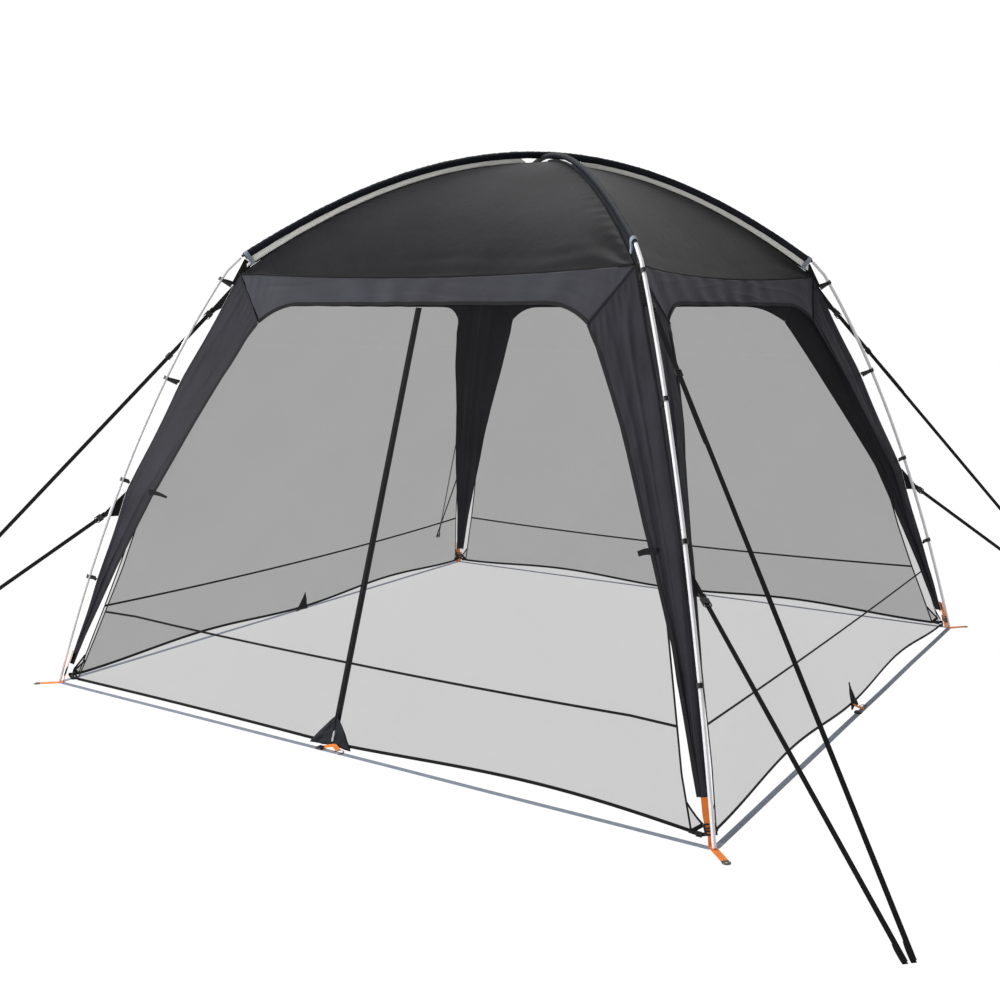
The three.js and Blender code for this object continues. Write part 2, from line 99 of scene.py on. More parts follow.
CORNERS = {
    "front_left": dict(heading=-135, side=-1, peg=(2.941, 0.0), flat=False),
    "front_right": dict(heading=-45, side=1, peg=(2.821, 0.219), flat=True),
    "back_right": dict(heading=45, side=1, peg=(2.941, 0.0), flat=False),
    "back_left": dict(heading=135, side=-1, peg=(2.941, 0.0), flat=False),
}

# ---- camera ----------------------------------------------------------------------------------

CAMERA_PLACE = (2.782, -4.661, 1.571)
CAMERA_AZIMUTH = math.radians(32.775)
CAMERA_DOWN = math.radians(8.903)
camera_data = bpy.data.cameras.new("camera")
camera_data.lens = 43.302
camera_data.sensor_width = 36.0
camera_data.clip_end = 60.0
camera = bpy.data.objects.new("camera", camera_data)
bpy.context.scene.collection.objects.link(camera)
camera.location = CAMERA_PLACE
camera.rotation_euler = (math.pi / 2 - CAMERA_DOWN, 0.0, CAMERA_AZIMUTH)
bpy.context.scene.camera = camera

# ---- small helpers ---------------------------------------------------------------------------


def turn(points, heading):
    """Points of a wall's or corner's own frame, turned about Z by heading degrees."""
    c, s = math.cos(math.radians(heading)), math.sin(math.radians(heading))
    return np.asarray(points, float) @ np.array(((c, s, 0), (-s, c, 0), (0, 0, 1)))


def along(table, t):
    return float(np.interp(t, [row[0] for row in table], [row[1] for row in table]))


def half_width(z):
    return along(CORNER_SEAM, z)


def smooth(low, high, t):
    x = min(max((t - low) / (high - low), 0.0), 1.0)
    return x * x * (3 - 2 * x)


def wall_point(x, z, inset=0.0):
    half = half_width(z)
    bow = BOW[0] + (BOW[1] - BOW[0]) * z / EAVE_Z
    return np.array((x, -(half - bow * (1 - (x / half) ** 2)) + inset, z))


def unit(v):
    return v / max(np.linalg.norm(v), 1e-12)


def new_object(name, vertices, faces, uvs, look, body="frame", smooth_faces=True):
    """A mesh object with one UV pair per vertex, riding on a body. body None leaves it free."""
    mesh = bpy.data.meshes.new(name)
    mesh.from_pydata([tuple(map(float, v)) for v in vertices], [], faces)
    layer = mesh.uv_layers.new(name="cloth")
    loops = np.empty(len(mesh.loops), int)
    mesh.loops.foreach_get("vertex_index", loops)
    layer.data.foreach_set("uv", np.asarray(uvs, float)[loops].ravel())
    looks = look if isinstance(look, (list, tuple)) else [look]
    for one in looks:
        mesh.materials.append(one)
    mesh.polygons.foreach_set("use_smooth", [smooth_faces] * len(mesh.polygons))
    obj = bpy.data.objects.new(name, mesh)
    bpy.context.scene.collection.objects.link(obj)
    if body:
        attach(obj, body)
    return obj


def grid_normals(points):
    du, dv = np.gradient(points, axis=1), np.gradient(points, axis=0)
    n = np.cross(du, dv)
    return n / np.maximum(np.linalg.norm(n, axis=2, keepdims=True), 1e-12)


def cloth(name, points, look, body="frame", thick=0.0008, facing=None):
    """A thin sheet over a grid of points, closed with a rim all round, or a single layer if thick is None.
    facing is a way that its outer side looks."""
    points = np.asarray(points, float)
    uv = metric_uv(points).reshape(-1, 2)
    rows, columns = points.shape[:2]
    if thick is None:
        cells = np.arange(rows * columns).reshape(rows, columns)
        faces = np.stack((cells[:-1, :-1], cells[:-1, 1:], cells[1:, 1:], cells[1:, :-1]), axis=-1).reshape(-1, 4)
        return new_object(name, points.reshape(-1, 3), faces.tolist(), uv, look, body)
    n = grid_normals(points)
    if facing is not None and (n.reshape(-1, 3) @ np.asarray(facing)).sum() < 0:
        n = -n
    outer, inner = points + n * thick / 2, points - n * thick / 2
    vertices = np.concatenate((outer.reshape(-1, 3), inner.reshape(-1, 3)))
    half = rows * columns
    at = np.arange(half).reshape(rows, columns)
    a, b, c, d = at[:-1, :-1], at[:-1, 1:], at[1:, 1:], at[1:, :-1]
    front = np.stack((a, b, c, d), axis=-1).reshape(-1, 4)
    back = np.stack((a, d, c, b), axis=-1).reshape(-1, 4) + half
    ring = np.concatenate((at[0, :-1], at[:-1, -1], at[-1, :0:-1], at[:0:-1, 0]))
    after = np.roll(ring, -1)
    rim = np.stack((ring, ring + half, after + half, after), axis=-1)
    faces = np.concatenate((front, back, rim))
    probe = np.cross(vertices[front[0, 1]] - vertices[front[0, 0]], vertices[front[0, 3]] - vertices[front[0, 0]])
    if probe @ n[0, 0] < 0:
        faces = faces[:, ::-1]
    return new_object(name, vertices, faces.tolist(), np.concatenate((uv, uv)), look, body)


def metric_uv(points):
    """Rough lengths across and along a grid, in metres."""
    points = np.asarray(points, float)
    step_u = np.linalg.norm(np.diff(points, axis=1), axis=2)
    step_v = np.linalg.norm(np.diff(points, axis=0), axis=2)
    u = np.concatenate((np.zeros((len(points), 1)), np.cumsum(step_u, axis=1)), axis=1)
    u -= u[:, -1:] / 2
    v = np.concatenate((np.zeros((1, points.shape[1])), np.cumsum(step_v, axis=0)), axis=0)
    return np.stack((u, v), axis=-1)


def smooth_path(points, count):
    """Catmull-Rom through the points, resampled evenly."""
    p = np.asarray(points, float)
    p = np.concatenate((p[:1] * 2 - p[1:2], p, p[-1:] * 2 - p[-2:-1]))
    fine = []
    for i in range(1, len(p) - 2):
        for t in np.linspace(0, 1, 24, endpoint=False):
            fine.append(0.5 * ((2 * p[i]) + (p[i + 1] - p[i - 1]) * t
                               + (2 * p[i - 1] - 5 * p[i] + 4 * p[i + 1] - p[i + 2]) * t ** 2
                               + (3 * p[i] - p[i - 1] - 3 * p[i + 1] + p[i + 2]) * t ** 3))
    fine.append(p[-2])
    fine = np.array(fine)
    length = np.concatenate(((0,), np.cumsum(np.linalg.norm(np.diff(fine, axis=0), axis=1))))
    where = np.linspace(0, length[-1], count)
    return np.stack([np.interp(where, length, fine[:, k]) for k in range(3)], axis=1)


def sweep(name, path, across, section, look, body="frame", closed=False, smooth_faces=False):
    """Carries a closed outline along a path. across gives the outline's first axis: one vector, or one per point."""
    path = np.asarray(path, float)
    count = len(path)
    tangent = np.gradient(path, axis=0) if not closed else np.roll(path, -1, 0) - np.roll(path, 1, 0)
    tangent /= np.linalg.norm(tangent, axis=1, keepdims=True)
    across = np.broadcast_to(np.asarray(across, float), path.shape)
    wide = across - (across * tangent).sum(axis=1, keepdims=True) * tangent
    wide /= np.linalg.norm(wide, axis=1, keepdims=True)
    thick = np.cross(tangent, wide)
    section = np.asarray(section, float)
    if section.ndim == 2:
        section = np.broadcast_to(section, (count,) + section.shape)
    sides = section.shape[1]
    vertices = path[:, None] + section[..., :1] * wide[:, None] + section[..., 1:] * thick[:, None]
    length = np.concatenate(((0,), np.cumsum(np.linalg.norm(np.diff(path, axis=0), axis=1))))
    uv = np.stack((section[..., 0], np.broadcast_to(length[:, None], (count, sides))), axis=-1)
    at = np.arange(count * sides).reshape(count, sides)
    faces = []
    for i in range(count if closed else count - 1):
        one, two = at[i], at[(i + 1) % count]
        for k in range(sides):
            m = (k + 1) % sides
            faces.append((one[k], one[m], two[m], two[k]))
    if not closed:
        faces += [tuple(at[0][::-1]), tuple(at[-1])]
    return new_object(name, vertices.reshape(-1, 3), [tuple(map(int, f)) for f in faces], uv.reshape(-1, 2),
                      look, body, smooth_faces)


def flat_section(width, thick):
    w, t, c = width / 2, thick / 2, min(thick * 0.3, 0.0006)
    return [(-w, -t + c), (-w + c, -t), (w - c, -t), (w, -t + c), (w, t - c), (w - c, t), (-w + c, t), (-w, t - c)]


def round_section(radius, sides=10):
    return [(radius * math.cos(a), radius * math.sin(a)) for a in np.arange(sides) * 2 * math.pi / sides]


def strap(name, path, across, width, look, body="frame", thick=0.0015, closed=False):
    return sweep(name, path, across, flat_section(width, thick), look, body, closed)


def join(name, objects, body="frame"):
    """One object from several that have no parent yet."""
    bpy.context.view_layer.update()
    base = objects[0]
    with bpy.context.temp_override(active_object=base, selected_editable_objects=objects,
                                   selected_objects=objects, object=base):
        bpy.ops.object.join()
    base.name = name
    base.data.name = name
    if body:
        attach(base, body)
    return base


def box_piece(name, size, place, axes, look, body="frame", bevel=0.0008):
    """A block with rounded edges. axes are its three directions."""
    x, y, z = (s / 2 for s in size)
    corners = np.array([(i, j, k) for k in (-z, z) for j in (-y, y) for i in (-x, x)])
    vertices = corners @ np.array([unit(np.asarray(a, float)) for a in axes]) + np.asarray(place, float)
    faces = [(0, 2, 3, 1), (4, 5, 7, 6), (0, 1, 5, 4), (2, 6, 7, 3), (0, 4, 6, 2), (1, 3, 7, 5)]
    handed = np.linalg.det(np.array([unit(np.asarray(a, float)) for a in axes]))
    if handed < 0:
        faces = [f[::-1] for f in faces]
    obj = new_object(name, vertices, faces, corners[:, :2], look, None, False)
    if bevel:
        cut = obj.modifiers.new("edges", "BEVEL")
        cut.width = bevel
        cut.segments = 2
        bpy.context.view_layer.update()
        made = bpy.data.meshes.new_from_object(obj.evaluated_get(bpy.context.evaluated_depsgraph_get()))
        obj.modifiers.clear()
        obj.data = made
    if body:
        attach(obj, body)
    return obj


def frame_ring(name, size, hole, thick, place, axes, look, body="frame", bars=()):
    """A rectangular moulded loop: outer size and hole size in its plane, with cross bars at the given shares."""
    (w, h), (a, b) = size, hole
    e1, e2, e3 = (unit(np.asarray(v, float)) for v in axes)
    place = np.asarray(place, float)
    side = (w - a) / 2
    end = (h - b) / 2
    blocks = [((side, h, thick), -(w - side) / 2, 0), ((side, h, thick), (w - side) / 2, 0),
              ((a + 0.001, end, thick), 0, -(h - end) / 2), ((a + 0.001, end, thick), 0, (h - end) / 2)]
    blocks += [((a + 0.001, end, thick), 0, share * b / 2) for share in bars]
    parts = [box_piece(f"{name}_{i}", dims, place + e1 * x + e2 * y, (e1, e2, e3), look, None, min(end, thick) * 0.22)
             for i, (dims, x, y) in enumerate(blocks)]
    return join(name, parts, body)


# ---- materials -------------------------------------------------------------------------------


class Nodes:
    def __init__(self, name):
        self.material = bpy.data.materials.new(name)
        self.material.use_nodes = True
        self.tree = self.material.node_tree
        self.shader = self.tree.nodes["Principled BSDF"]

    def add(self, kind, inputs=(), **settings):
        node = self.tree.nodes.new(kind)
        for key, value in settings.items():
            setattr(node, key, value)
        for key, value in dict(inputs).items():
            if hasattr(value, "is_output"):
                self.tree.links.new(value, node.inputs[key])
            else:
                node.inputs[key].default_value = value
        return node

    def link(self, output, node, socket):
        self.tree.links.new(output, node.inputs[socket])

    def ramp(self, source, stops):
        node = self.add("ShaderNodeValToRGB", {"Fac": source})
        node.color_ramp.elements[0].position, node.color_ramp.elements[0].color = stops[0]
        node.color_ramp.elements[1].position, node.color_ramp.elements[1].color = stops[-1]
        for place, color in stops[1:-1]:
            node.color_ramp.elements.new(place).color = color
        return node.outputs["Color"]

    def math(self, operation, a, b=0.0):
        return self.add("ShaderNodeMath", {0: a, 1: b}, operation=operation).outputs[0]


def rgb(r, g, b):
    """Linear colour from 0-255 screen values."""
    return tuple(((c / 255) / 12.92 if c <= 10 else ((c / 255 + 0.055) / 1.055) ** 2.4) for c in (r, g, b)) + (1.0,)


def coordinates(n, by_uv):
    if by_uv:
        return n.add("ShaderNodeUVMap", uv_map="cloth").outputs["UV"]
    return n.add("ShaderNodeTexCoord").outputs["Object"]


def woven(name, dark, light, rough, pitch=0.0007, crinkle=0.35, blotch=3.0, shine=0.3, creases=0.0):
    """Plain woven cloth: thread bump at its pitch, faint crinkles, and a slow drift of colour."""
    n = Nodes(name)
    uv = coordinates(n, True)
    slow = n.add("ShaderNodeTexNoise", {"Vector": uv, "Scale": blotch, "Detail": 4.0, "Roughness": 0.55})
    fine = n.add("ShaderNodeTexNoise", {"Vector": uv, "Scale": 60.0, "Detail": 3.0, "Roughness": 0.6})
    mixed = n.math("ADD", n.math("MULTIPLY", slow.outputs["Fac"], 0.7), n.math("MULTIPLY", fine.outputs["Fac"], 0.3))
    tone = n.ramp(mixed, [(0.36, dark), (0.64, light)])
    warp = n.add("ShaderNodeTexWave", {"Vector": uv, "Scale": 0.314 / pitch}, bands_direction="X")
    weft = n.add("ShaderNodeTexWave", {"Vector": uv, "Scale": 0.314 / pitch}, bands_direction="Y")
    threads = n.math("MULTIPLY", warp.outputs["Fac"], weft.outputs["Fac"])
    shade = n.math("ADD", n.math("MULTIPLY", threads, 0.22), 0.86)
    colour = n.add("ShaderNodeVectorMath", {0: tone, 1: n.add("ShaderNodeCombineXYZ", {0: shade, 1: shade, 2: shade})
                                            .outputs[0]}, operation="MULTIPLY")
    n.link(colour.outputs[0], n.shader, "Base Color")
    soft = n.add("ShaderNodeTexNoise", {"Vector": uv, "Scale": 14.0, "Detail": 5.0, "Roughness": 0.6,
                                        "Distortion": 0.6})
    bump = n.add("ShaderNodeBump", {"Height": threads, "Strength": 0.25, "Distance": 0.0003})
    bump2 = n.add("ShaderNodeBump", {"Height": soft.outputs["Fac"], "Strength": crinkle, "Distance": 0.006,
                                     "Normal": bump.outputs[0]})
    last = bump2
    if creases:
        lines = n.add("ShaderNodeTexVoronoi", {"Vector": uv, "Scale": 5.0, "Randomness": 1.0},
                      feature="DISTANCE_TO_EDGE")
        sharp = n.ramp(lines.outputs["Distance"], [(0.0, (0, 0, 0, 1)), (0.035, (1, 1, 1, 1))])
        last = n.add("ShaderNodeBump", {"Height": sharp, "Strength": creases, "Distance": 0.0012,
                                        "Normal": bump2.outputs[0]})
    n.link(last.outputs[0], n.shader, "Normal")
    n.link(n.math("ADD", n.math("MULTIPLY", fine.outputs["Fac"], 0.14), rough - 0.07), n.shader, "Roughness")
    n.shader.inputs["Specular IOR Level"].default_value = shine
    return n.material


def ribbed(name, dark, light, rough=0.75, pitch=0.0022, depth=0.0005):
    """Webbing: ribs across its length with a fine twill between them."""
    n = Nodes(name)
    uv = coordinates(n, True)
    ribs = n.add("ShaderNodeTexWave", {"Vector": uv, "Scale": 0.314 / pitch, "Distortion": 0.4, "Detail": 1.0},
                 bands_direction="Y")
    twill = n.add("ShaderNodeTexWave", {"Vector": uv, "Scale": 0.314 / 0.0009, "Distortion": 0.2},
                  bands_direction="DIAGONAL")
    drift = n.add("ShaderNodeTexNoise", {"Vector": uv, "Scale": 22.0, "Detail": 4.0})
    height = n.math("ADD", n.math("MULTIPLY", ribs.outputs["Fac"], 0.7), n.math("MULTIPLY", twill.outputs["Fac"], 0.3))
    tone = n.math("ADD", n.math("MULTIPLY", height, 0.55), n.math("MULTIPLY", drift.outputs["Fac"], 0.45))
    n.link(n.ramp(tone, [(0.2, dark), (0.8, light)]), n.shader, "Base Color")
    bump = n.add("ShaderNodeBump", {"Height": height, "Strength": 0.7, "Distance": depth})
    n.link(bump.outputs[0], n.shader, "Normal")
    n.link(n.math("ADD", n.math("MULTIPLY", drift.outputs["Fac"], 0.16), rough - 0.08), n.shader, "Roughness")
    n.shader.inputs["Specular IOR Level"].default_value = 0.15
    return n.material


def moulded(name, dark, light, rough, grain=900.0, metal=0.0, bump=0.12):
    """Plastic, paint or metal with a fine surface grain and slight handling marks."""
    n = Nodes(name)
    place = coordinates(n, False)
    fine = n.add("ShaderNodeTexNoise", {"Vector": place, "Scale": grain, "Detail": 2.0})
    wear = n.add("ShaderNodeTexNoise", {"Vector": place, "Scale": 35.0, "Detail": 5.0, "Roughness": 0.65})
    n.link(n.ramp(wear.outputs["Fac"], [(0.35, dark), (0.65, light)]), n.shader, "Base Color")
    n.link(n.math("ADD", n.math("MULTIPLY", wear.outputs["Fac"], 0.16), rough - 0.08), n.shader, "Roughness")
    made = n.add("ShaderNodeBump", {"Height": fine.outputs["Fac"], "Strength": bump, "Distance": 0.0003})
    n.link(made.outputs[0], n.shader, "Normal")
    n.shader.inputs["Metallic"].default_value = metal
    return n.material


def netting(name, cover):
    """Knitted insect net: dark threads at a pitch of about a millimetre, open between them."""
    n = Nodes(name)
    uv = coordinates(n, True)
    threads = [n.add("ShaderNodeTexWave", {"Vector": uv, "Scale": 0.314 / 0.0012, "Distortion": 0.15},
                     bands_direction=way).outputs["Fac"] for way in ("X", "Y")]
    weave = n.math("MAXIMUM", *threads)
    drift = n.add("ShaderNodeTexNoise", {"Vector": uv, "Scale": 2.2, "Detail": 3.0})
    share = n.math("ADD", n.math("MULTIPLY", n.math("SUBTRACT", weave, 0.79), 0.25),
                   n.math("ADD", n.math("MULTIPLY", drift.outputs["Fac"], 0.04), cover - 0.02))
    n.link(share, n.shader, "Alpha")
    n.link(n.ramp(drift.outputs["Fac"], [(0.3, rgb(24, 24, 25)), (0.7, rgb(34, 34, 36))]), n.shader, "Base Color")
    bump = n.add("ShaderNodeBump", {"Height": weave, "Strength": 0.2, "Distance": 0.0002})
    n.link(bump.outputs[0], n.shader, "Normal")
    n.shader.inputs["Roughness"].default_value = 0.85
    n.shader.inputs["Specular IOR Level"].default_value = 0.1
    return n.material


ROOF = woven("roof_cloth", rgb(28, 28, 30), rgb(38, 38, 41), 0.46, crinkle=0.3, creases=0.1, shine=0.06)
VALANCE = woven("valance_cloth", rgb(46, 46, 53), rgb(56, 56, 65), 0.6, crinkle=0.3, shine=0.16)
SKIRT = woven("skirt_cloth", rgb(37, 37, 42), rgb(46, 46, 54), 0.6, crinkle=0.3, shine=0.1)
BINDING = ribbed("binding", rgb(26, 26, 29), rgb(38, 38, 42), pitch=0.0015)
NAVY = woven("sleeve_cloth", rgb(14, 17, 25), rgb(22, 26, 36), 0.6, pitch=0.0009, crinkle=0.5, blotch=12.0, shine=0.2)
NET = netting("insect_net", 0.432)
TAPE = ribbed("binding_tape", rgb(14, 14, 16), rgb(28, 28, 30), pitch=0.0015)
BLACK_WEB = ribbed("black_webbing", rgb(14, 14, 15), rgb(32, 32, 35))
GREY_WEB = ribbed("blue_grey_webbing", rgb(122, 129, 144), rgb(156, 163, 178))
ORANGE_WEB = ribbed("orange_webbing", rgb(224, 112, 42), rgb(252, 156, 80))
STRIP = ribbed("light_strip", rgb(226, 225, 220), rgb(246, 245, 241), pitch=0.003)
PAINT = moulded("white_powder_coat", rgb(226, 226, 230), rgb(238, 238, 241), 0.3, 500.0)
BLACK = moulded("black_acetal", rgb(12, 12, 13), rgb(24, 24, 26), 0.42)
FIBRE = moulded("fibreglass", rgb(34, 35, 38), rgb(52, 53, 57), 0.4, 300.0)
DARK_STEEL = moulded("dark_steel", rgb(86, 85, 80), rgb(128, 127, 122), 0.4, 700.0, metal=0.8)
STEEL = moulded("plated_steel", rgb(128, 129, 130), rgb(168, 168, 168), 0.32, 700.0, metal=0.9)
ZIP_COIL = ribbed("zip_coil", rgb(16, 16, 18), rgb(40, 40, 43), 0.45, pitch=0.0016, depth=0.0009)

for prefix, look in (("roof_pole", FIBRE), ("leg_clip", BLACK), ("leg_", PAINT), ("zip_", STEEL)):
    for name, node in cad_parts.items():
        if name.startswith(prefix) and not (prefix == "leg_" and name.startswith("leg_clip")):
            for place in node.material_slots:
                place.material = look

# ---- guys ------------------------------------------------------------------------------------


def guy_route(corner, level):
    """Root and end of a guy in the corner's own frame, as in the CAD model."""
    z, apart = {"upper": (1.63, 1), "lower": (0.764, -1)}[level]
    beside = GUY_WIDTH / 2 + 0.01 if corner["flat"] else 0.007 + 0.0045 + 0.0008
    start = np.array((half_width(z) * math.sqrt(2) + 0.009, corner["side"] * beside, z))
    spread = GUY_WIDTH * 0.75 if corner["flat"] else 0.0072
    end = np.array((corner["peg"][0], corner["peg"][1] + corner["side"] * apart * spread, 0.011))
    return start, end


def buckle(name, place, along_way, wide, thick, body="frame"):
    """Side-release buckle on 16 mm webbing: a shell with side windows, two prongs and a bar at each end."""
    parts = [box_piece(name + "_shell", (0.021, 0.026, 0.0075), place, (wide, along_way, thick), BLACK, None, 0.002)]
    for sign in (-1, 1):
        parts.append(box_piece(f"{name}_arm{sign}", (0.004, 0.03, 0.005),
                               place + wide * sign * 0.0125 + along_way * 0.006, (wide, along_way, thick), BLACK, None,
                               0.0015))
        parts.append(box_piece(f"{name}_rail{sign}", (0.0035, 0.014, 0.005),
                               place + wide * sign * 0.0095 - along_way * 0.019, (wide, along_way, thick), BLACK,
                               None, 0.0012))
    for offset in (-0.026, 0.023):
        parts.append(box_piece(f"{name}_bar{offset}", (0.0225, 0.004, 0.005), place + along_way * offset,
                               (wide, along_way, thick), BLACK, None, 0.0013))
    return join(name, parts, body)


for corner_name, corner in CORNERS.items():
    heading = corner["heading"]
    side_way = turn((0, 1, 0), heading)
    for level in ("upper", "lower"):
        start, end = (turn(p, heading) for p in guy_route(corner, level))
        run = end - start
        length = float(np.linalg.norm(run))
        way = run / length
        up = np.cross(side_way, way)
        wide = side_way if corner["flat"] else unit(up)
        thick = unit(np.cross(wide, way))
        count = 60
        shares = np.linspace(0, 1, count)
        path = start + run * shares[:, None]
        guy = strap(f"guy_strap_{level}_{corner_name}", path, wide, GUY_WIDTH, BLACK_WEB, thick=GUY_THICK)
        loop_path = []
        reach, rise = 0.052, 0.0042
        for t in np.linspace(0, 1, 25):
            angle = math.pi * t
            loop_path.append(end - way * (reach / 2 - 0.004) + way * math.cos(angle) * reach / 2 * -1
                             + thick * math.sin(angle) * rise + thick * 0.0021)
        loop = strap(f"guy_loop_{level}_{corner_name}", loop_path, wide, GUY_WIDTH * 0.98, BLACK_WEB, thick=0.0014)
        stitches = box_piece(f"guy_stitch_{level}_{corner_name}", (GUY_WIDTH * 0.8, 0.012, 0.0032),
                             end - way * (reach + 0.002) + thick * 0.0012, (wide, way, thick), TAPE, "frame", 0.0006)
        at = {"upper": 0.055 if corner["flat"] else 0.095, "lower": 0.1}[level]
        buckle(f"guy_buckle_{level}_{corner_name}", start + way * at, way, wide, thick)
        if level == "upper":
            doubled = start + way * np.linspace(0.12, 0.62, 40)[:, None] + thick * 0.0042 \
                + thick * 0.0015 * np.sin(np.linspace(0, 3 * math.pi, 40))[:, None]
            strap(f"guy_doubled_{corner_name}", doubled, wide, GUY_WIDTH, BLACK_WEB, thick=0.0014)
            place = start + way * 0.34
            ring = frame_ring(f"guy_adjuster_{corner_name}", (0.024, 0.026), (0.0172, 0.019), 0.005, place,
                              (wide, way, thick), BLACK, f"guy_runner_{corner_name}", bars=(0.0,))
            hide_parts(f"guy_runner_{corner_name}")
        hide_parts(f"guy_{level}_{corner_name}")

# ---- roof panels and valance -----------------------------------------------------------------


def sag(r):
    s = (r / POLE_END_R) ** 2
    return 4 * SAG * s * (1 - s)


def seam_height(r):
    return SEAM_TOP - SEAM_FALL * r * r - sag(r)


def ripple(x, y, seed):
    return noise.noise(Vector((x, y, seed)))


def valance_edge(s):
    flat_from = 0.43
    if s >= flat_from:
        return VALANCE_Z
    t = (flat_from - s) / (flat_from - MITRE[0])
    return VALANCE_Z - (VALANCE_Z - MITRE[1]) * t ** 3


def gore_point(u, d, seed):
    """A point of a roof panel: u runs across from -1 to 1 and d is the seam's distance from the middle, per axis."""
    share = (d / half_width(EAVE_Z)) ** 2
    drawn = 1 - u * u
    x = u * (d - 0.0015)
    z = seam_height(d * math.sqrt(2)) - (EAVE_Z - EAVE_MID_Z) * share * drawn
    z -= (seam_height(0.925 * math.sqrt(2)) - EAVE_Z) * smooth(0.78, 0.925, d)
    p = np.array((x, -(d - BOW[1] * share * drawn), z))
    slope = 2 * SEAM_FALL * 2 * d
    n = unit(np.array((0.0, -slope, 1.0)))
    edge = (1 - abs(u)) * d
    near_eave = smooth(0.16, 0.0, half_width(EAVE_Z) - d) * smooth(0, 0.12, edge)
    near_seam = smooth(0.1, 0.006, edge) * smooth(0, 0.006, edge) * smooth(0.05, 0.2, d)
    wave = 0.0035 * near_eave * math.sin(d * 105 + 2.6 * ripple(x * 3.0, d * 2, seed)) * ripple(x * 2.2, 0.3, seed + 3)
    wave += 0.0022 * near_seam * math.sin(d * 165 + 3 * ripple(d * 9, 0, seed)) * (0.6 + ripple(d * 4, 1.2, seed + 5))
    corner = smooth(0.45, 0.0, math.hypot(abs(x) - 0.92, d - 0.925))
    fan = math.atan2(0.925 - d + 0.02, 0.925 - abs(x) + 0.02)
    wave += 0.004 * corner * smooth(0, 0.05, edge + 0.01) * math.sin(fan * 16 + seed)
    wave += 0.006 * ripple(x * 2.1, d * 2.6, seed + 9) * smooth(0, 0.2, edge) * smooth(0, 0.1, 0.925 - d + 0.01)
    return p + n * wave


def valance_point(u, v, seed):
    """A point of a valance: v runs from the eave seam, 0, to its lower edge, 1."""
    z0 = EAVE_MID_Z + (EAVE_Z - EAVE_MID_Z) * u * u
    x0 = u * (half_width(z0) - 0.002)
    s = (1 - abs(u)) * half_width(VALANCE_Z) + abs(u) * MITRE[0]
    z1 = valance_edge(s) + 0.001
    x1 = math.copysign(half_width(z1) - s, u)
    x, z = x0 + (x1 - x0) * v, z0 + (z1 - z0) * v
    p = wall_point(x, z)
    edge = smooth(0, 0.06, v) * (1 - 0.4 * abs(u))
    wave = 0.005 * edge * math.sin(x * 34 + 3.5 * ripple(x * 2.2, v * 0.7, seed)) * (0.5 + ripple(x * 3, 0.4, seed + 2))
    wave += 0.0016 * smooth(0.7, 1.0, abs(u)) * math.sin(x * 150 + 2 * ripple(x * 8, v * 2, seed)) * (1 - v) \
        * smooth(0, 0.15, v)
    wave += 0.004 * ripple(x * 4, z * 6, seed + 4) * smooth(0, 0.2, v)
    lean = v * 5.5 - abs(x) * 6.5 + 2.2 * ripple(x * 2.6, z * 3, seed + 6)
    wave += 0.0042 * (1 - abs(math.sin(lean))) ** 3 * smooth(0.05, 0.3, v) * smooth(1.0, 0.8, abs(u))
    return p + np.array((0, -0.94, 0.34)) * wave


for index, (wall, heading) in enumerate(WALLS.items()):
    seed = 3.1 + 7.7 * index
    across = np.sin(np.linspace(-math.pi / 2, math.pi / 2, 111) * 0.999)
    across = 0.35 * across + 0.65 * np.linspace(-1, 1, 111)
    gore = turn([[gore_point(u, d, seed) for u in across] for d in np.linspace(0.005, 0.9245, 100)], heading)
    panel = cloth(f"roof_gore_{wall}", gore, ROOF, None, facing=(0, 0, 1))
    drop = turn([[valance_point(u, v, seed) for u in across] for v in np.linspace(0.0, 1, 26)], heading)
    outward = turn((0, -1, 0.3), heading)
    skirting = cloth(f"roof_valance_{wall}", drop, VALANCE, None, facing=outward)
    eave = turn([gore_point(u, 0.9245, seed) for u in np.linspace(-0.99, 0.99, 90)], heading) + outward * 0.0012
    eave_seam = strap(f"roof_eave_seam_{wall}", eave, (0, 0, 1), 0.009, TAPE, None, 0.001)
    piece = join(f"roof_cover_{wall}", [panel, skirting])
    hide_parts(f"roof_panel_{wall}")
    lower = turn([valance_point(u, 1.0, seed) for u in np.linspace(-1, 1, 160)], heading) + outward * 0.001
    binding = strap(f"roof_binding_{wall}", lower, (0, 0, 1), 0.014, BINDING, None, 0.0016)
    trim = join(f"roof_trim_{wall}", [eave_seam, binding])

# ---- pole sleeves ----------------------------------------------------------------------------


def pole_height(pole, r):
    return POLE_TOP[pole] - (POLE_TOP[pole] - POLE_END_Z) * (r / POLE_END_R) ** 2 - sag(r)


# Where the light strip is seen under each sleeve: from, to, and the slant of the cut at its inner end
STRIP_SPANS = {
    "a": {"left": (-SLEEVE_END_R + 0.012, -0.098, 0.03), "right": (SLEEVE_END_R - 0.012, 0.175, 0.0)},
    "b": {"front": (-SLEEVE_END_R + 0.012, -0.11, 0.01), "back": (SLEEVE_END_R - 0.012, 0.11, -0.01)},
}


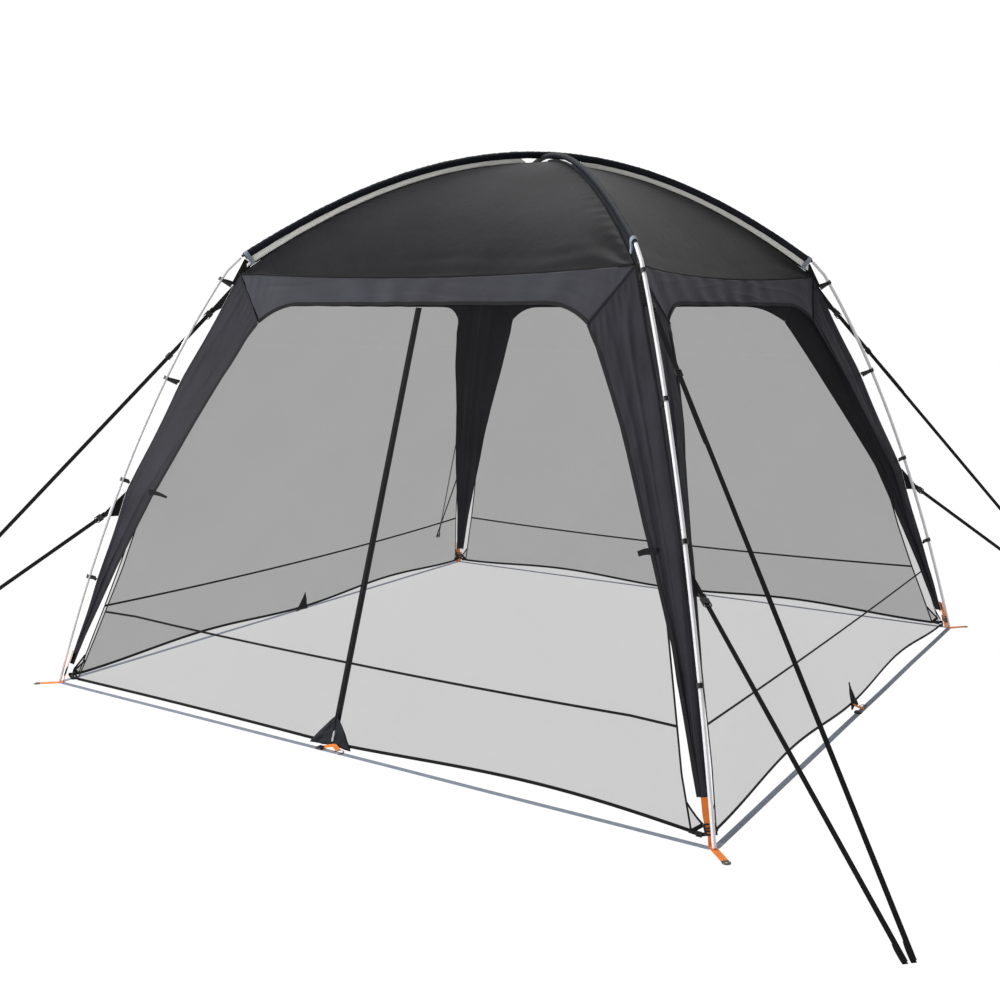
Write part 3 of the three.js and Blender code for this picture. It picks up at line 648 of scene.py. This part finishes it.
def sleeve(pole, heading):
    """Tube of cloth round the pole, drawn to a stitched line, over the light strip that hangs the roof."""
    rs = np.linspace(-SLEEVE_END_R, SLEEVE_END_R, 361)
    path = np.array([(r, 0.0, pole_height(pole, r)) for r in rs])
    outlines = []
    for r in rs:
        gap = (pole_height(pole, r) - seam_height(abs(r))) * 0.985
        squeeze = ripple(r * 34, 0.5, 2.0 if pole == "a" else 8.0)
        swell = 0.0013 * squeeze + 0.0006 * math.sin(r * 260)
        top = 0.0098 + swell
        low = -min(0.0205, max(gap - 0.014, 0.0125)) + 0.0012 * ripple(r * 22, 3.0, 1.0)
        half = [(0.0, top), (0.0045 + swell, 0.0086), (0.0082 + swell, 0.0052), (0.0098 + swell, 0.0),
                (0.0088 + swell * 0.6, low * 0.25), (0.0064, low * 0.5), (0.0036 + 0.001 * squeeze, low * 0.75),
                (0.002, low)]
        outlines.append(half + [(-x, z) for x, z in half[::-1] if x > 0])
    tube = sweep(f"sleeve_cloth_{pole}", turn(path, heading), turn((0, 1, 0), heading), outlines, NAVY, None,
                 smooth_faces=True)
    for tag, (near, far, slant) in STRIP_SPANS[pole].items():
        rows = []
        for share in np.linspace(0, 1, 5):
            row = []
            for r in np.linspace(near, far + slant * share, 121):
                top = pole_height(pole, r) - 0.018
                low = seam_height(abs(r)) + 0.001
                row.append((r, 0.0006 * math.sin(share * 6 + r * 40), top + (low - top) * share))
            rows.append(row)
        rows = turn(rows, heading)
        strip = cloth(f"sleeve_strip_{pole}_{tag}", rows, NAVY if tag == "front" else STRIP, "frame",
                      0.0016)
    seam = turn([(r, 0, seam_height(abs(r)) - 0.001) for r in rs[4:-4]], heading)
    cord = strap(f"roof_seam_{pole}", seam, (0, 0, 1), 0.006, TAPE, "frame", 0.005)
    return tube


sleeves = join("sleeve_cover", [sleeve("a", 45), sleeve("b", 135)])
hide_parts("pole_sleeves")

# ---- corner skirts ---------------------------------------------------------------------------


def scallop(z):
    """How far the corner seam falls back between the clips that hold it out."""
    marks = np.array(CLIP_HEIGHTS)
    near = np.min(np.abs(marks - z))
    return 0.003 * smooth(0.0, 0.19, near) * smooth(0.1, 0.4, z)


def skirt_point(u, z, seed, corner):
    """A point of a skirt in the frame of the wall to its right: u runs -1 to 1 across the corner."""
    share = abs(u)
    top = EAVE_Z - 0.002 - (EAVE_Z - MITRE[1]) * share
    height = min(z, top)
    edge = SKIRT_EDGES.get((corner, -1 if u < 0 else 1), SKIRT_EDGE)
    s = share * (MITRE[0] if z >= top else along(edge, height))
    half = half_width(height)
    back = scallop(height)
    s_here = max(s, 0.0)
    face = wall_point(half - s_here, height)
    fade = smooth(0, 0.2, share) * smooth(top, top - 0.08, height) * smooth(SKIRT_BOTTOM, 0.25, height)
    lean = share * 7.5 + (3.4 if u < 0 else -3.4) * height + 2.4 * ripple(share * 1.5, height * 1.1, seed)
    fold = (1 - abs(math.sin(lean))) ** 2.5 * (0.4 + max(0.0, ripple(share * 1.7, height * 2.1, seed + 2)) * 1.6)
    wave = fade * (0.006 * fold + 0.0035 * math.sin(lean * 0.7) + 0.005 * ripple(s_here * 7, height * 2.4, seed + 5))
    fine = ripple(s_here * 30 + height * 6, height * 5.5, seed + 8)
    wave += 0.0022 * fade * fine * smooth(0.3, 1.2, height)
    wave += 0.0022 * smooth(0.14, 0.0, top - height) * smooth(0, 0.02, top - height) * math.sin(s_here * 210)
    depth = -face[1] + wave - back * (1 - share)
    side = half - s_here - back * (1 - share) * (1 if share < 1 else 0)
    return np.array((side, -depth, height)) if u < 0 else np.array((depth, -side, height))


for index, (corner_name, corner) in enumerate(CORNERS.items()):
    heading = corner["heading"] + 45
    seed = 1.7 + 5.3 * index
    across = np.concatenate((-np.linspace(1, 0, 27) ** 0.9, (np.linspace(0, 1, 27) ** 0.9)[1:]))
    foot = SKIRT_FEET.get(corner_name, SKIRT_BOTTOM)
    heights = np.concatenate((np.linspace(foot, 1.36, 110), np.linspace(1.37, 1.7249, 44)))
    rows = []
    for z in heights:
        row = []
        for u in across:
            top = EAVE_Z - 0.002 - (EAVE_Z - MITRE[1]) * abs(u)
            fit = z if z < 1.36 else 1.36 + (z - 1.36) * (top - 1.36) / (1.725 - 1.36)
            point = skirt_point(u, min(fit, top), seed, corner_name)
            row.append(point)
        rows.append(row)
    grid = turn(rows, heading)
    out = turn((1, -1, 0), heading)
    cover = cloth(f"skirt_cloth_{corner_name}", grid, SKIRT, "frame", 0.0009, facing=out)
    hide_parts(f"corner_skirt_{corner_name}")
    trims = []
    for column, tag in ((0, "left"), (-1, "right")):
        edge = grid[:, column]
        inward = unit(grid[60, 26] - grid[60, column])
        off = turn((0, -1, 0) if tag == "left" else (1, 0, 0), heading)
        trims.append(strap(f"skirt_edge_{tag}_{corner_name}", edge + off * 0.001, inward, 0.014, BINDING, None, 0.0026))
    for tag, mid in (("left", slice(0, 27)), ("right", slice(26, None))):
        mitre = grid[-1, mid]
        off = turn((0, -1, 0) if tag == "left" else (1, 0, 0), heading)
        trims.append(strap(f"skirt_mitre_{tag}_{corner_name}", mitre + off * 0.0014, (0, 0, 1), 0.013, SKIRT, None,
                           0.0014))
    trim = join(f"skirt_trim_{corner_name}", trims)

# ---- netting walls ---------------------------------------------------------------------------


def hem_height(u):
    return HEM_Z + 0.03 * math.sin(math.pi * min(abs(u), 1.0)) ** 2


def mesh_edge(wall, side, z):
    """How far along a wall its netting reaches, on the given side of its middle."""
    return half_width(z) - along(MESH_EDGES.get((wall, side), MESH_EDGE), z)


def net_point(wall, u, v, inset=MESH_INSET):
    z = hem_height(u) + (MESH_TOP - hem_height(u)) * v
    return wall_point(u * mesh_edge(wall, 1 if u > 0 else -1, z), z, inset)


def tape_height(u):
    return TAPE_Z - 0.02 * (1 - u * u)


def tape_row(wall, height, inset):
    row = []
    for u in np.linspace(-1, 1, 81):
        z = height(u)
        row.append(wall_point(u * mesh_edge(wall, 1 if u > 0 else -1, z), z, inset))
    return row


for wall, heading in WALLS.items():
    if wall == "front":
        continue
    rows = turn([[net_point(wall, u, v) for u in np.linspace(-1, 1, 61)] for v in np.linspace(0, 1, 61)], heading)
    net = cloth(f"net_{wall}", rows, NET, "frame", None)
    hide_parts(f"mesh_wall_{wall}")
    inset = MESH_INSET - TAPE_OFF
    hem_line = turn(tape_row(wall, lambda u: hem_height(u) + 0.005, inset), heading)
    tape_line = turn(tape_row(wall, tape_height, inset), heading)
    trims = [strap(f"hem_{wall}", hem_line, (0, 0, 1), HEM_WIDTH, TAPE, None, 0.002),
             strap(f"tape_{wall}", tape_line, (0, 0, 1), TAPE_WIDTH, TAPE, None, 0.0015)]
    for sign in (-1, 1):
        side = turn([net_point(wall, sign * 0.999, v, inset) for v in np.linspace(0, 0.6, 60)], heading)
        trims.append(strap(f"side_{wall}_{sign}", side, turn((1, 0, 0), heading), SIDE_WIDTH, TAPE, None, 0.0015))
    trim = join(f"net_trim_{wall}", trims)

# ---- front wall: two halves, each shaped with a crease on the line from the zip's top ----------

ZIP_TOP = wall_point(0, ZIP_TOP_Z, MESH_INSET)
ZIP_FOOT = wall_point(0, HEM_Z, MESH_INSET)
FOLD_Z = HEM_Z + 0.007
# Each half's hem: how much higher it ends at the corner, how far it arches between, and how much the arch leans
FRONT_HEM = {-1: (0.005, 0.0035, 1.0), 1: (0.009, 0.028, 1.3)}


def fold_foot(side):
    return wall_point(side * (half_width(FOLD_Z) - 0.075), FOLD_Z, MESH_INSET)


def front_point(side, x, z, inset=0.0):
    """A point of the front net: flat from the zip to the fold line, then out to the skirt."""
    foot = fold_foot(side)
    if z >= ZIP_TOP_Z:
        p = wall_point(x, z, MESH_INSET)
        return p + np.array((0, inset, 0))
    t = min((ZIP_TOP_Z - z) / (ZIP_TOP_Z - foot[2]), 1.0)
    fold = ZIP_TOP + (foot - ZIP_TOP) * t
    tz = (ZIP_TOP_Z - z) / (ZIP_TOP_Z - ZIP_FOOT[2])
    zip_y = ZIP_TOP[1] + (ZIP_FOOT[1] - ZIP_TOP[1]) * tz
    if abs(x) <= abs(fold[0]) + 1e-9:
        share = abs(x) / max(abs(fold[0]), 1e-6)
        return np.array((x, zip_y + (fold[1] - zip_y) * share + inset, z))
    x1 = front_edge_x(side, z)
    share = min(max((x - fold[0]) / (x1 - fold[0]), 0.0), 1.0) if abs(x1 - fold[0]) > 1e-6 else 1.0
    sunk = fold[1] - wall_point(fold[0], z, MESH_INSET)[1]
    return np.array((x, wall_point(x, z, MESH_INSET)[1] + sunk * (1 - share) + inset, z))


def front_edge_x(side, z):
    return side * mesh_edge("front", side, z)


def front_hem(side, share):
    """Height of the front hem from the zip, 0, to the corner, 1."""
    rise, arch, lean = FRONT_HEM[side]
    return 0.012 + rise * share + arch * math.sin(math.pi * share ** lean)


def front_columns(side, z):
    """Distances from the wall's middle at one height, with five columns across the fold line."""
    low, high = ZIP_TAPE * 0.85, abs(front_edge_x(side, z))
    foot = fold_foot(side)
    fold = abs(foot[0]) * (ZIP_TOP_Z - z) / (ZIP_TOP_Z - foot[2])
    stops = [min(max(fold + 0.0135 * k, low + 0.001 * (k + 3)), high - 0.001 * (3 - k)) for k in (-2, -1, 0, 1, 2)]
    return np.concatenate((np.linspace(low, stops[0], 29), stops[1:4], np.linspace(stops[4], high, 29)))


ZIP_TAPE = 0.0135
for side, tag in ((-1, "left"), (1, "right")):
    body = f"door_{tag}"
    foot = fold_foot(side)
    e1 = unit(foot - ZIP_TOP)
    to_zip = ZIP_FOOT - ZIP_TOP
    e2 = unit(to_zip - e1 * (to_zip @ e1))
    start = tuple(ZIP_TOP - e2 * 0.02)
    end = tuple(ZIP_TOP + e2 * 0.02)
    rows = []
    for v in np.linspace(0, 1, 75):
        row = []
        for i in range(61):
            x, z = 0.0, HEM_Z + (MESH_TOP - HEM_Z) * v
            for _ in range(4):
                x = front_columns(side, z)[i]
                hem = front_hem(side, min(x / abs(front_edge_x(side, z)), 1.0))
                z = hem + (MESH_TOP - hem) * v
            row.append(front_point(side, side * x, z))
        rows.append(row)
    rows = np.array(rows)
    net = cloth(f"net_front_{tag}", rows, NET, None, None)
    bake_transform(net)
    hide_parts(f"front_mesh_{tag}", f"door_{tag}")
    trims = []
    hem_path, tape_path = [], []
    for share in np.linspace(0, 1, 90):
        for line, z, start_x in ((hem_path, front_hem(side, share) + 0.005, side * ZIP_TAPE * 0.5),
                                 (tape_path, tape_height(share), side * ZIP_TAPE)):
            line.append(front_point(side, start_x + (front_edge_x(side, z) - start_x) * share, z, -TAPE_OFF))
    trims.append(strap(f"hem_front_{tag}", hem_path, (0, 0, 1), HEM_WIDTH, TAPE, None, 0.002))
    trims.append(strap(f"tape_front_{tag}", tape_path, (0, 0, 1), TAPE_WIDTH, TAPE, None, 0.0015))
    side_path = [front_point(side, front_edge_x(side, z) * 0.9993, z, -TAPE_OFF) for z in np.linspace(0.03, 1.0, 70)]
    trims.append(strap(f"side_front_{tag}", side_path, (1, 0, 0), SIDE_WIDTH, TAPE, None, 0.0015))
    trim = join(f"net_trim_front_{tag}", trims, None)
    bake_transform(trim)
    zip_path = [front_point(side, side * (ZIP_TAPE / 2 + 0.0008), z, -0.003)
                for z in np.linspace(0.03, ZIP_TOP_Z - 0.004, 80)]
    zip_half = strap(f"zip_tape_half_{tag}", zip_path, (1, 0, 0), ZIP_TAPE, TAPE, None, 0.0018)
    coil = sweep(f"zip_coil_half_{tag}", np.array(zip_path) + np.array((-side * 0.0048, -0.0018, 0)), (1, 0, 0),
                 [(x * 0.0022, y * 0.0016) for x, y in round_section(1.0, 8)], ZIP_COIL, None)
    zip_piece = join(f"zip_side_{tag}", [zip_half, coil], None)
    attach(zip_piece, body)

zip_head = box_piece("zip_head", (0.03, 0.0035, 0.016), wall_point(0, ZIP_TOP_Z + 0.006, MESH_INSET - 0.0045),
                     ((1, 0, 0), (0, 1, 0), (0, 0, 1)), TAPE)

# ---- bands, gussets, tabs and webbing at the corners -------------------------------------------


def leg_point(t):
    """The leg's centreline below the elbow, as radius and height."""
    p0, p1, p2 = np.array(LEG_BEND), np.array(LEG_BOW), np.array((FOOT_R, 0.005))
    return (1 - t) ** 2 * p0 + 2 * t * (1 - t) * p1 + t * t * p2


def leg_at(z):
    low, high = 0.0, 1.0
    for _ in range(40):
        mid = (low + high) / 2
        if leg_point(mid)[1] > z:
            low = mid
        else:
            high = mid
    return leg_point(low)


for corner_name, corner in CORNERS.items():
    heading = corner["heading"]
    pole = "b" if heading in (-45, 135) else "a"
    lateral = turn((0, 1, 0), heading)
    parts = []
    r0 = SLEEVE_END_R - 0.011
    slope = -2 * (POLE_TOP[pole] - POLE_END_Z) * r0 / POLE_END_R ** 2
    way = unit(np.array((1, 0, slope)))
    up = np.array((-way[2], 0, way[0]))
    centre = np.array((r0, 0, pole_height(pole, r0)))
    drop = (pole_height(pole, r0) - seam_height(r0)) * way[0] + 0.004
    outline = [(math.cos(a) * 0.0118, math.sin(a) * 0.0118) for a in np.linspace(0, math.pi, 13)]
    outline = outline + [(-0.0116, -0.01), (-0.0055, -drop * 0.6), (-0.0028, -drop), (0.0028, -drop),
                         (0.0055, -drop * 0.6), (0.0116, -0.01)]
    band_path = turn([centre + way * offset for offset in (-0.0095, -0.003, 0.003, 0.0095)], heading)
    band = sweep(f"sleeve_band_{corner_name}", band_path, lateral, outline, GREY_WEB, "frame")
    gusset = []
    for share in np.linspace(0, 1, 8):
        top = centre + way * (0.006 + 0.012 * (1 - share)) - up * drop * (0.25 + 0.72 * share)
        z_low = 1.69 - 0.01 * share
        low = np.array((half_width(z_low) * math.sqrt(2) + 0.002 + 0.011 * (1 - share), 0, z_low))
        gusset.append([top + (low - top) * t for t in np.linspace(0, 1, 10)])
    gusset = turn(gusset, heading)
    flap = cloth(f"sleeve_gusset_{corner_name}", gusset, TAPE, "frame", 0.0016)
    for i, z in enumerate(CLIP_HEIGHTS):
        r, zz = leg_at(z)
        t_low = leg_at(z - 0.02)
        down = unit(np.array((t_low[0] - r, 0, t_low[1] - zz)))
        seam = half_width(z - 0.02) * math.sqrt(2) - scallop(z) * math.sqrt(2) + 0.001
        inner = np.array((seam, 0.0, z - 0.016))
        outer = np.array((r - 0.013, 0.0, zz - 0.004))
        path = turn([inner + (outer - inner) * t for t in np.linspace(0, 1, 8)], heading)
        tab = strap(f"clip_tab_{corner_name}_{i + 1}", path, turn(down, heading), 0.0125, BLACK_WEB, "frame", 0.0024)
    for level in ("upper", "lower"):
        start, end = guy_route(corner, level)
        way_g = unit(end - start)
        tip = start + way_g * {"upper": 0.03 if corner["flat"] else 0.07, "lower": 0.075}[level]
        tall = {"upper": (0.055, 0.045), "lower": (0.055, 0.05)}[level]
        rows = []
        for t in np.linspace(0, 1, 14):
            row = []
            for v in np.linspace(0, 1, 9):
                z = start[2] + tall[0] - (tall[0] + tall[1]) * v
                root = np.array((half_width(z) * math.sqrt(2) - scallop(z) * 1.3 + 0.0015, 0.0, z))
                at_tip = tip + np.array((0, 0, 0.011 - 0.022 * v))
                row.append(root + (at_tip - root) * t ** 0.85)
            rows.append(row)
        rows = turn(rows, heading)
        tab = cloth(f"guy_tab_{level}_{corner_name}", rows, TAPE, "frame", 0.0022)

# ---- feet --------------------------------------------------------------------------------------

WEB_THICK = 0.0024
for corner_name, corner in CORNERS.items():
    heading = corner["heading"]
    lateral = turn((0, 1, 0), heading)

    aside = -0.009 * corner["side"]

    def on_skirt(z):
        return (half_width(z) * math.sqrt(2) + 0.0035, aside * smooth(0.03, 0.09, z), z)
    path = smooth_path([on_skirt(0.138), on_skirt(0.08), (FOOT_R - 0.025, 0, 0.034), (FOOT_R - 0.019, 0, 0.012),
                        (FOOT_R - 0.008, 0, WEB_THICK / 2), (FOOT_R + 0.04, 0, WEB_THICK / 2),
                        (FOOT_R + 0.084, 0, WEB_THICK / 2)], 64)
    web = strap(f"foot_webbing_{corner_name}", turn(path, heading), lateral, WEB_WIDTH, ORANGE_WEB, "frame", 0.0019)
    out = turn((1, 0, 0), heading)
    eye = turn((FOOT_R + EYELET_OUT, 0, 0.0013), heading)
    ring_path = [eye + 0.0062 * (math.cos(a) * out + math.sin(a) * lateral)
                 for a in np.linspace(0, 2 * math.pi, 33)[:-1]]
    rim = [(x * 0.0018, y * 0.0026) for x, y in round_section(1.0, 8)]
    eyelet = sweep(f"foot_eyelet_{corner_name}", ring_path, (0, 0, 1), rim, DARK_STEEL, closed=True, smooth_faces=True)
    tip_rows = []
    for a in np.linspace(-math.pi, math.pi, 41):
        c, s = math.cos(a), math.sin(a)
        reach = 0.0125 / max(abs(c), abs(s), 1e-6) if c < 0 else 0.0145
        reach = min(reach, 0.0165)
        tip_rows.append([eye + (out * c + lateral * s) * q for q in np.linspace(0.0046, reach, 4)])
    tip = cloth(f"foot_tip_{corner_name}", tip_rows, DARK_STEEL, "frame", 0.0021, facing=(0, 0, 1))
    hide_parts(f"foot_web_{corner_name}")
    leaf_way = unit(np.array(on_skirt(0.05)) - np.array(on_skirt(0.09)))
    lock = frame_ring(f"foot_lock_{corner_name}", (0.039, 0.036), (0.027, 0.026), 0.006,
                      turn(np.array(on_skirt(0.05)) + np.array((0.0012, 0, 0)), heading),
                      (lateral, turn(leaf_way, heading), turn(np.cross((0, 1, 0), leaf_way), heading)), BLACK,
                      "frame", bars=(-0.3, 0.35))

# ---- straps on the ground ----------------------------------------------------------------------

for wall, heading in WALLS.items():
    xs = np.linspace(-1.4872, 1.4872, 160)
    path = turn([(x, -FOOT + 0.0015 * ripple(x * 2, 0, heading * 0.1), 0.0012) for x in xs], heading)
    ground = strap(f"ground_strap_{wall}", path, turn((0, 1, 0), heading), GROUND_WIDTH, GREY_WEB, "frame", 0.0015)
    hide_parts(f"perimeter_strap_{wall}")

# ---- fittings where the netting meets the corners and the ground --------------------------------


def curve(a, b, c, count=14):
    a, b, c = (np.asarray(p, float) for p in (a, b, c))
    return [(1 - t) ** 2 * a + 2 * t * (1 - t) * b + t * t * c for t in np.linspace(0, 1, count)]


def on_wall(heading, side, s, z, out=0.0035):
    """A point just outside the netting, at a distance s from the corner seam."""
    return turn(wall_point(side * (half_width(z) - s), z, MESH_INSET - out), heading)


def foot_gusset(wall, heading, side):
    """Scrap of netting, its curved tape, and the webbing with a buckle that ties the hem to the corner."""
    tag = f"{wall}_{'left' if side < 0 else 'right'}"
    high = 0.105
    outer = half_width(high) - mesh_edge(wall, side, high)
    hem_s = half_width(0.022) - mesh_edge(wall, side, 0.022)
    rim = [on_wall(heading, side, s, z) for s, z in curve((outer, high), (outer * 0.62, 0.066), (0.026, 0.053))]
    line = [on_wall(heading, side, outer + (hem_s - outer) * t, high + (0.024 - high) * t)
            for t in np.linspace(0, 1, 14)]
    rows = [[p + (q - p) * t for p, q in zip(line, rim)] for t in np.linspace(0, 1, 6)]
    scrap = cloth(f"gusset_net_{tag}", rows, NET, "frame", None)
    along_wall = turn((side, 0, 0), heading)
    out = turn((0, -1, 0), heading)
    ends = [on_wall(heading, side, 0.026, 0.053, 0.005), on_wall(heading, side, hem_s, 0.026, 0.005)]
    tie = smooth_path([on_wall(heading, side, hem_s + 0.008, 0.026, 0.006), on_wall(heading, side, 0.035, 0.026, 0.009),
                       on_wall(heading, side, 0.008, 0.034, 0.006)], 20)
    parts = [strap(f"gusset_tape_{tag}", rim, (0, 0, 1), 0.008, TAPE, None, 0.0016),
             strap(f"gusset_strap_{tag}", [ends[0] + (ends[1] - ends[0]) * t for t in np.linspace(0, 1, 6)], (0, 0, 1),
                   0.013, TAPE, None, 0.0024),
             strap(f"gusset_tie_{tag}", tie, (0, 0, 1), 0.012, BLACK_WEB, None, 0.002)]
    lock = frame_ring(f"gusset_lock_{tag}", (0.019, 0.017), (0.011, 0.011), 0.006, tie[10],
                      (along_wall, (0, 0, 1), out), BLACK, None, bars=(0.0,))
    made = join(f"gusset_trim_{tag}", parts + [lock])


for wall, heading in WALLS.items():
    for side in (-1, 1):
        foot_gusset(wall, heading, side)


def ground_tie(name, heading, patches, path, across, ring_x, body_of):
    """Black patches on a hem, and the orange webbing that loops them to the strap on the ground."""
    for tag, (foot, apex, base) in patches.items():
        rows = []
        for t in np.linspace(0, 1, 16):
            row = []
            for q in np.linspace(0, 1, 12):
                z = 0.009 + (apex - 0.009) * t - 0.004 * q * (1 - t)
                crease = 0.008 * abs(ripple(q * 3.5 + t, t * 2.5, base * 40)) * smooth(0, 0.15, q)
                row.append(wall_point(foot + (base - foot) * (1 - t ** 1.15) * q, z, MESH_INSET - 0.0045 - crease))
            rows.append(row)
        rows = turn(rows, heading)
        piece = cloth(f"{name}_patch_{tag}", rows, NAVY, body_of(tag), 0.0018)
    loop = strap(f"{name}_loop", turn(smooth_path(path, 24), heading), turn(across, heading), 0.018, ORANGE_WEB,
                 "frame", 0.0018)
    centre = np.array((ring_x, -FOOT + 0.004, 0.0052))
    oval = [centre + np.array((0.017 * math.cos(a), 0.0155 * math.sin(a), 0.0)) for a in np.arange(28) * math.pi / 14]
    ring = sweep(f"{name}_ring", turn(oval, heading), (0, 0, 1), round_section(0.0019, 8), STEEL, "frame", closed=True,
                 smooth_faces=True)
    clip = box_piece(f"{name}_clip", (0.026, 0.03, 0.008), turn((ring_x - 0.086, -FOOT, 0.006), heading),
                     turn([(1, 0, 0), (0, 1, 0), (0, 0, 1)], heading), BLACK, "frame", 0.003)


for wall, heading in WALLS.items():
    if wall == "front":
        ground_tie("front_tie", heading, {"left": (-0.0005, 0.118, -0.105), "right": (0.0005, 0.118, 0.088)},
                   [(-0.026, -1.494, 0.0055), (0.0, -1.482, 0.013), (0.02, -1.479, 0.015), (0.046, -1.49, 0.007)],
                   (0, 1, 0.35), 0.056,
                   lambda tag: f"door_{tag}")
    else:
        ground_tie(f"{wall}_tie", heading, {"left": (0.0, 0.105, -0.042), "right": (0.0, 0.105, 0.042)},
                   [(0.0, -1.463, 0.022), (0.002, -1.476, 0.012), (0.004, -1.504, 0.0045)], (1, 0, 0), 0.035,
                   lambda tag: "frame")

# Toggles on the skirts' free edges, which hold the door leaves when they are rolled back
for corner_name, side, reach, widths in (("front_left", -1, 0.085, (0.022, 0.008)),
                                         ("front_right", 1, 0.05, (0.024, 0.018))):
    edge = along(SKIRT_EDGES[(corner_name, -side)], 0.825)
    where = [(edge - 0.02, 0.826), (edge + reach * 0.4, 0.822), (edge + reach, 0.812)]
    path = smooth_path([wall_point(side * (half_width(z) - s), z, -0.004) for s, z in where], 16)
    outlines = [flat_section(width, 0.007) for width in np.linspace(*widths, 16)]
    toggle = sweep(f"toggle_{corner_name}", path, (0, 0, 1), outlines, BLACK_WEB)

# ---- light and floor -----------------------------------------------------------------------------

world = bpy.data.worlds.new("studio")
bpy.context.scene.world = world
world.use_nodes = True
# White paper all round but for the far right, which is dimmer so that the right side falls into shade
sky = world.node_tree
way = sky.nodes.new("ShaderNodeTexCoord")
across_sky = sky.nodes.new("ShaderNodeVectorMath")
across_sky.operation = "DOT_PRODUCT"
across_sky.inputs[1].default_value = (0.94, -0.34, 0.0)
sky.links.new(way.outputs["Generated"], across_sky.inputs[0])
shade = sky.nodes.new("ShaderNodeMapRange")
shade.interpolation_type = "SMOOTHSTEP"
for socket, value in (("From Min", -0.1), ("From Max", 0.62), ("To Min", 1.02), ("To Max", 0.2)):
    shade.inputs[socket].default_value = value
sky.links.new(across_sky.outputs["Value"], shade.inputs["Value"])
sky.links.new(shade.outputs["Result"], sky.nodes["Background"].inputs["Strength"])
sky.nodes["Background"].inputs["Color"].default_value = (1.0, 1.0, 1.0, 1.0)

floor_mesh = bpy.data.meshes.new("floor")
SIZE = 40.0
floor_mesh.from_pydata([(-SIZE, -SIZE, -0.0005), (SIZE, -SIZE, -0.0005), (SIZE, SIZE, -0.0005),
                        (-SIZE, SIZE, -0.0005)], [], [(0, 1, 2, 3)])
floor = bpy.data.objects.new("floor", floor_mesh)
bpy.context.scene.collection.objects.link(floor)
paper = Nodes("studio_floor")
paper.shader.inputs["Base Color"].default_value = (0.03, 0.03, 0.03, 1.0)
paper.shader.inputs["Specular IOR Level"].default_value = 0.0
paper.shader.inputs["Roughness"].default_value = 0.9
paper.shader.inputs["Emission Color"].default_value = (1.0, 1.0, 1.0, 1.0)
paper.shader.inputs["Emission Strength"].default_value = 1.0
floor_mesh.materials.append(paper.material)


def area_light(name, place, target, size, power):
    data = bpy.data.lights.new(name, "AREA")
    data.energy = power
    data.size = size
    lamp = bpy.data.objects.new(name, data)
    lamp.location = place
    lamp.rotation_euler = (Vector(target) - Vector(place)).to_track_quat("-Z", "Y").to_euler()
    bpy.context.scene.collection.objects.link(lamp)


area_light("key", (-3.6, -4.6, 3.0), (0, -0.6, 1.1), 2.2, 245)
area_light("top", (-0.5, -0.2, 4.6), (0, 0, 2.0), 1.2, 46)

bpy.context.scene.view_settings.view_transform = "Standard"
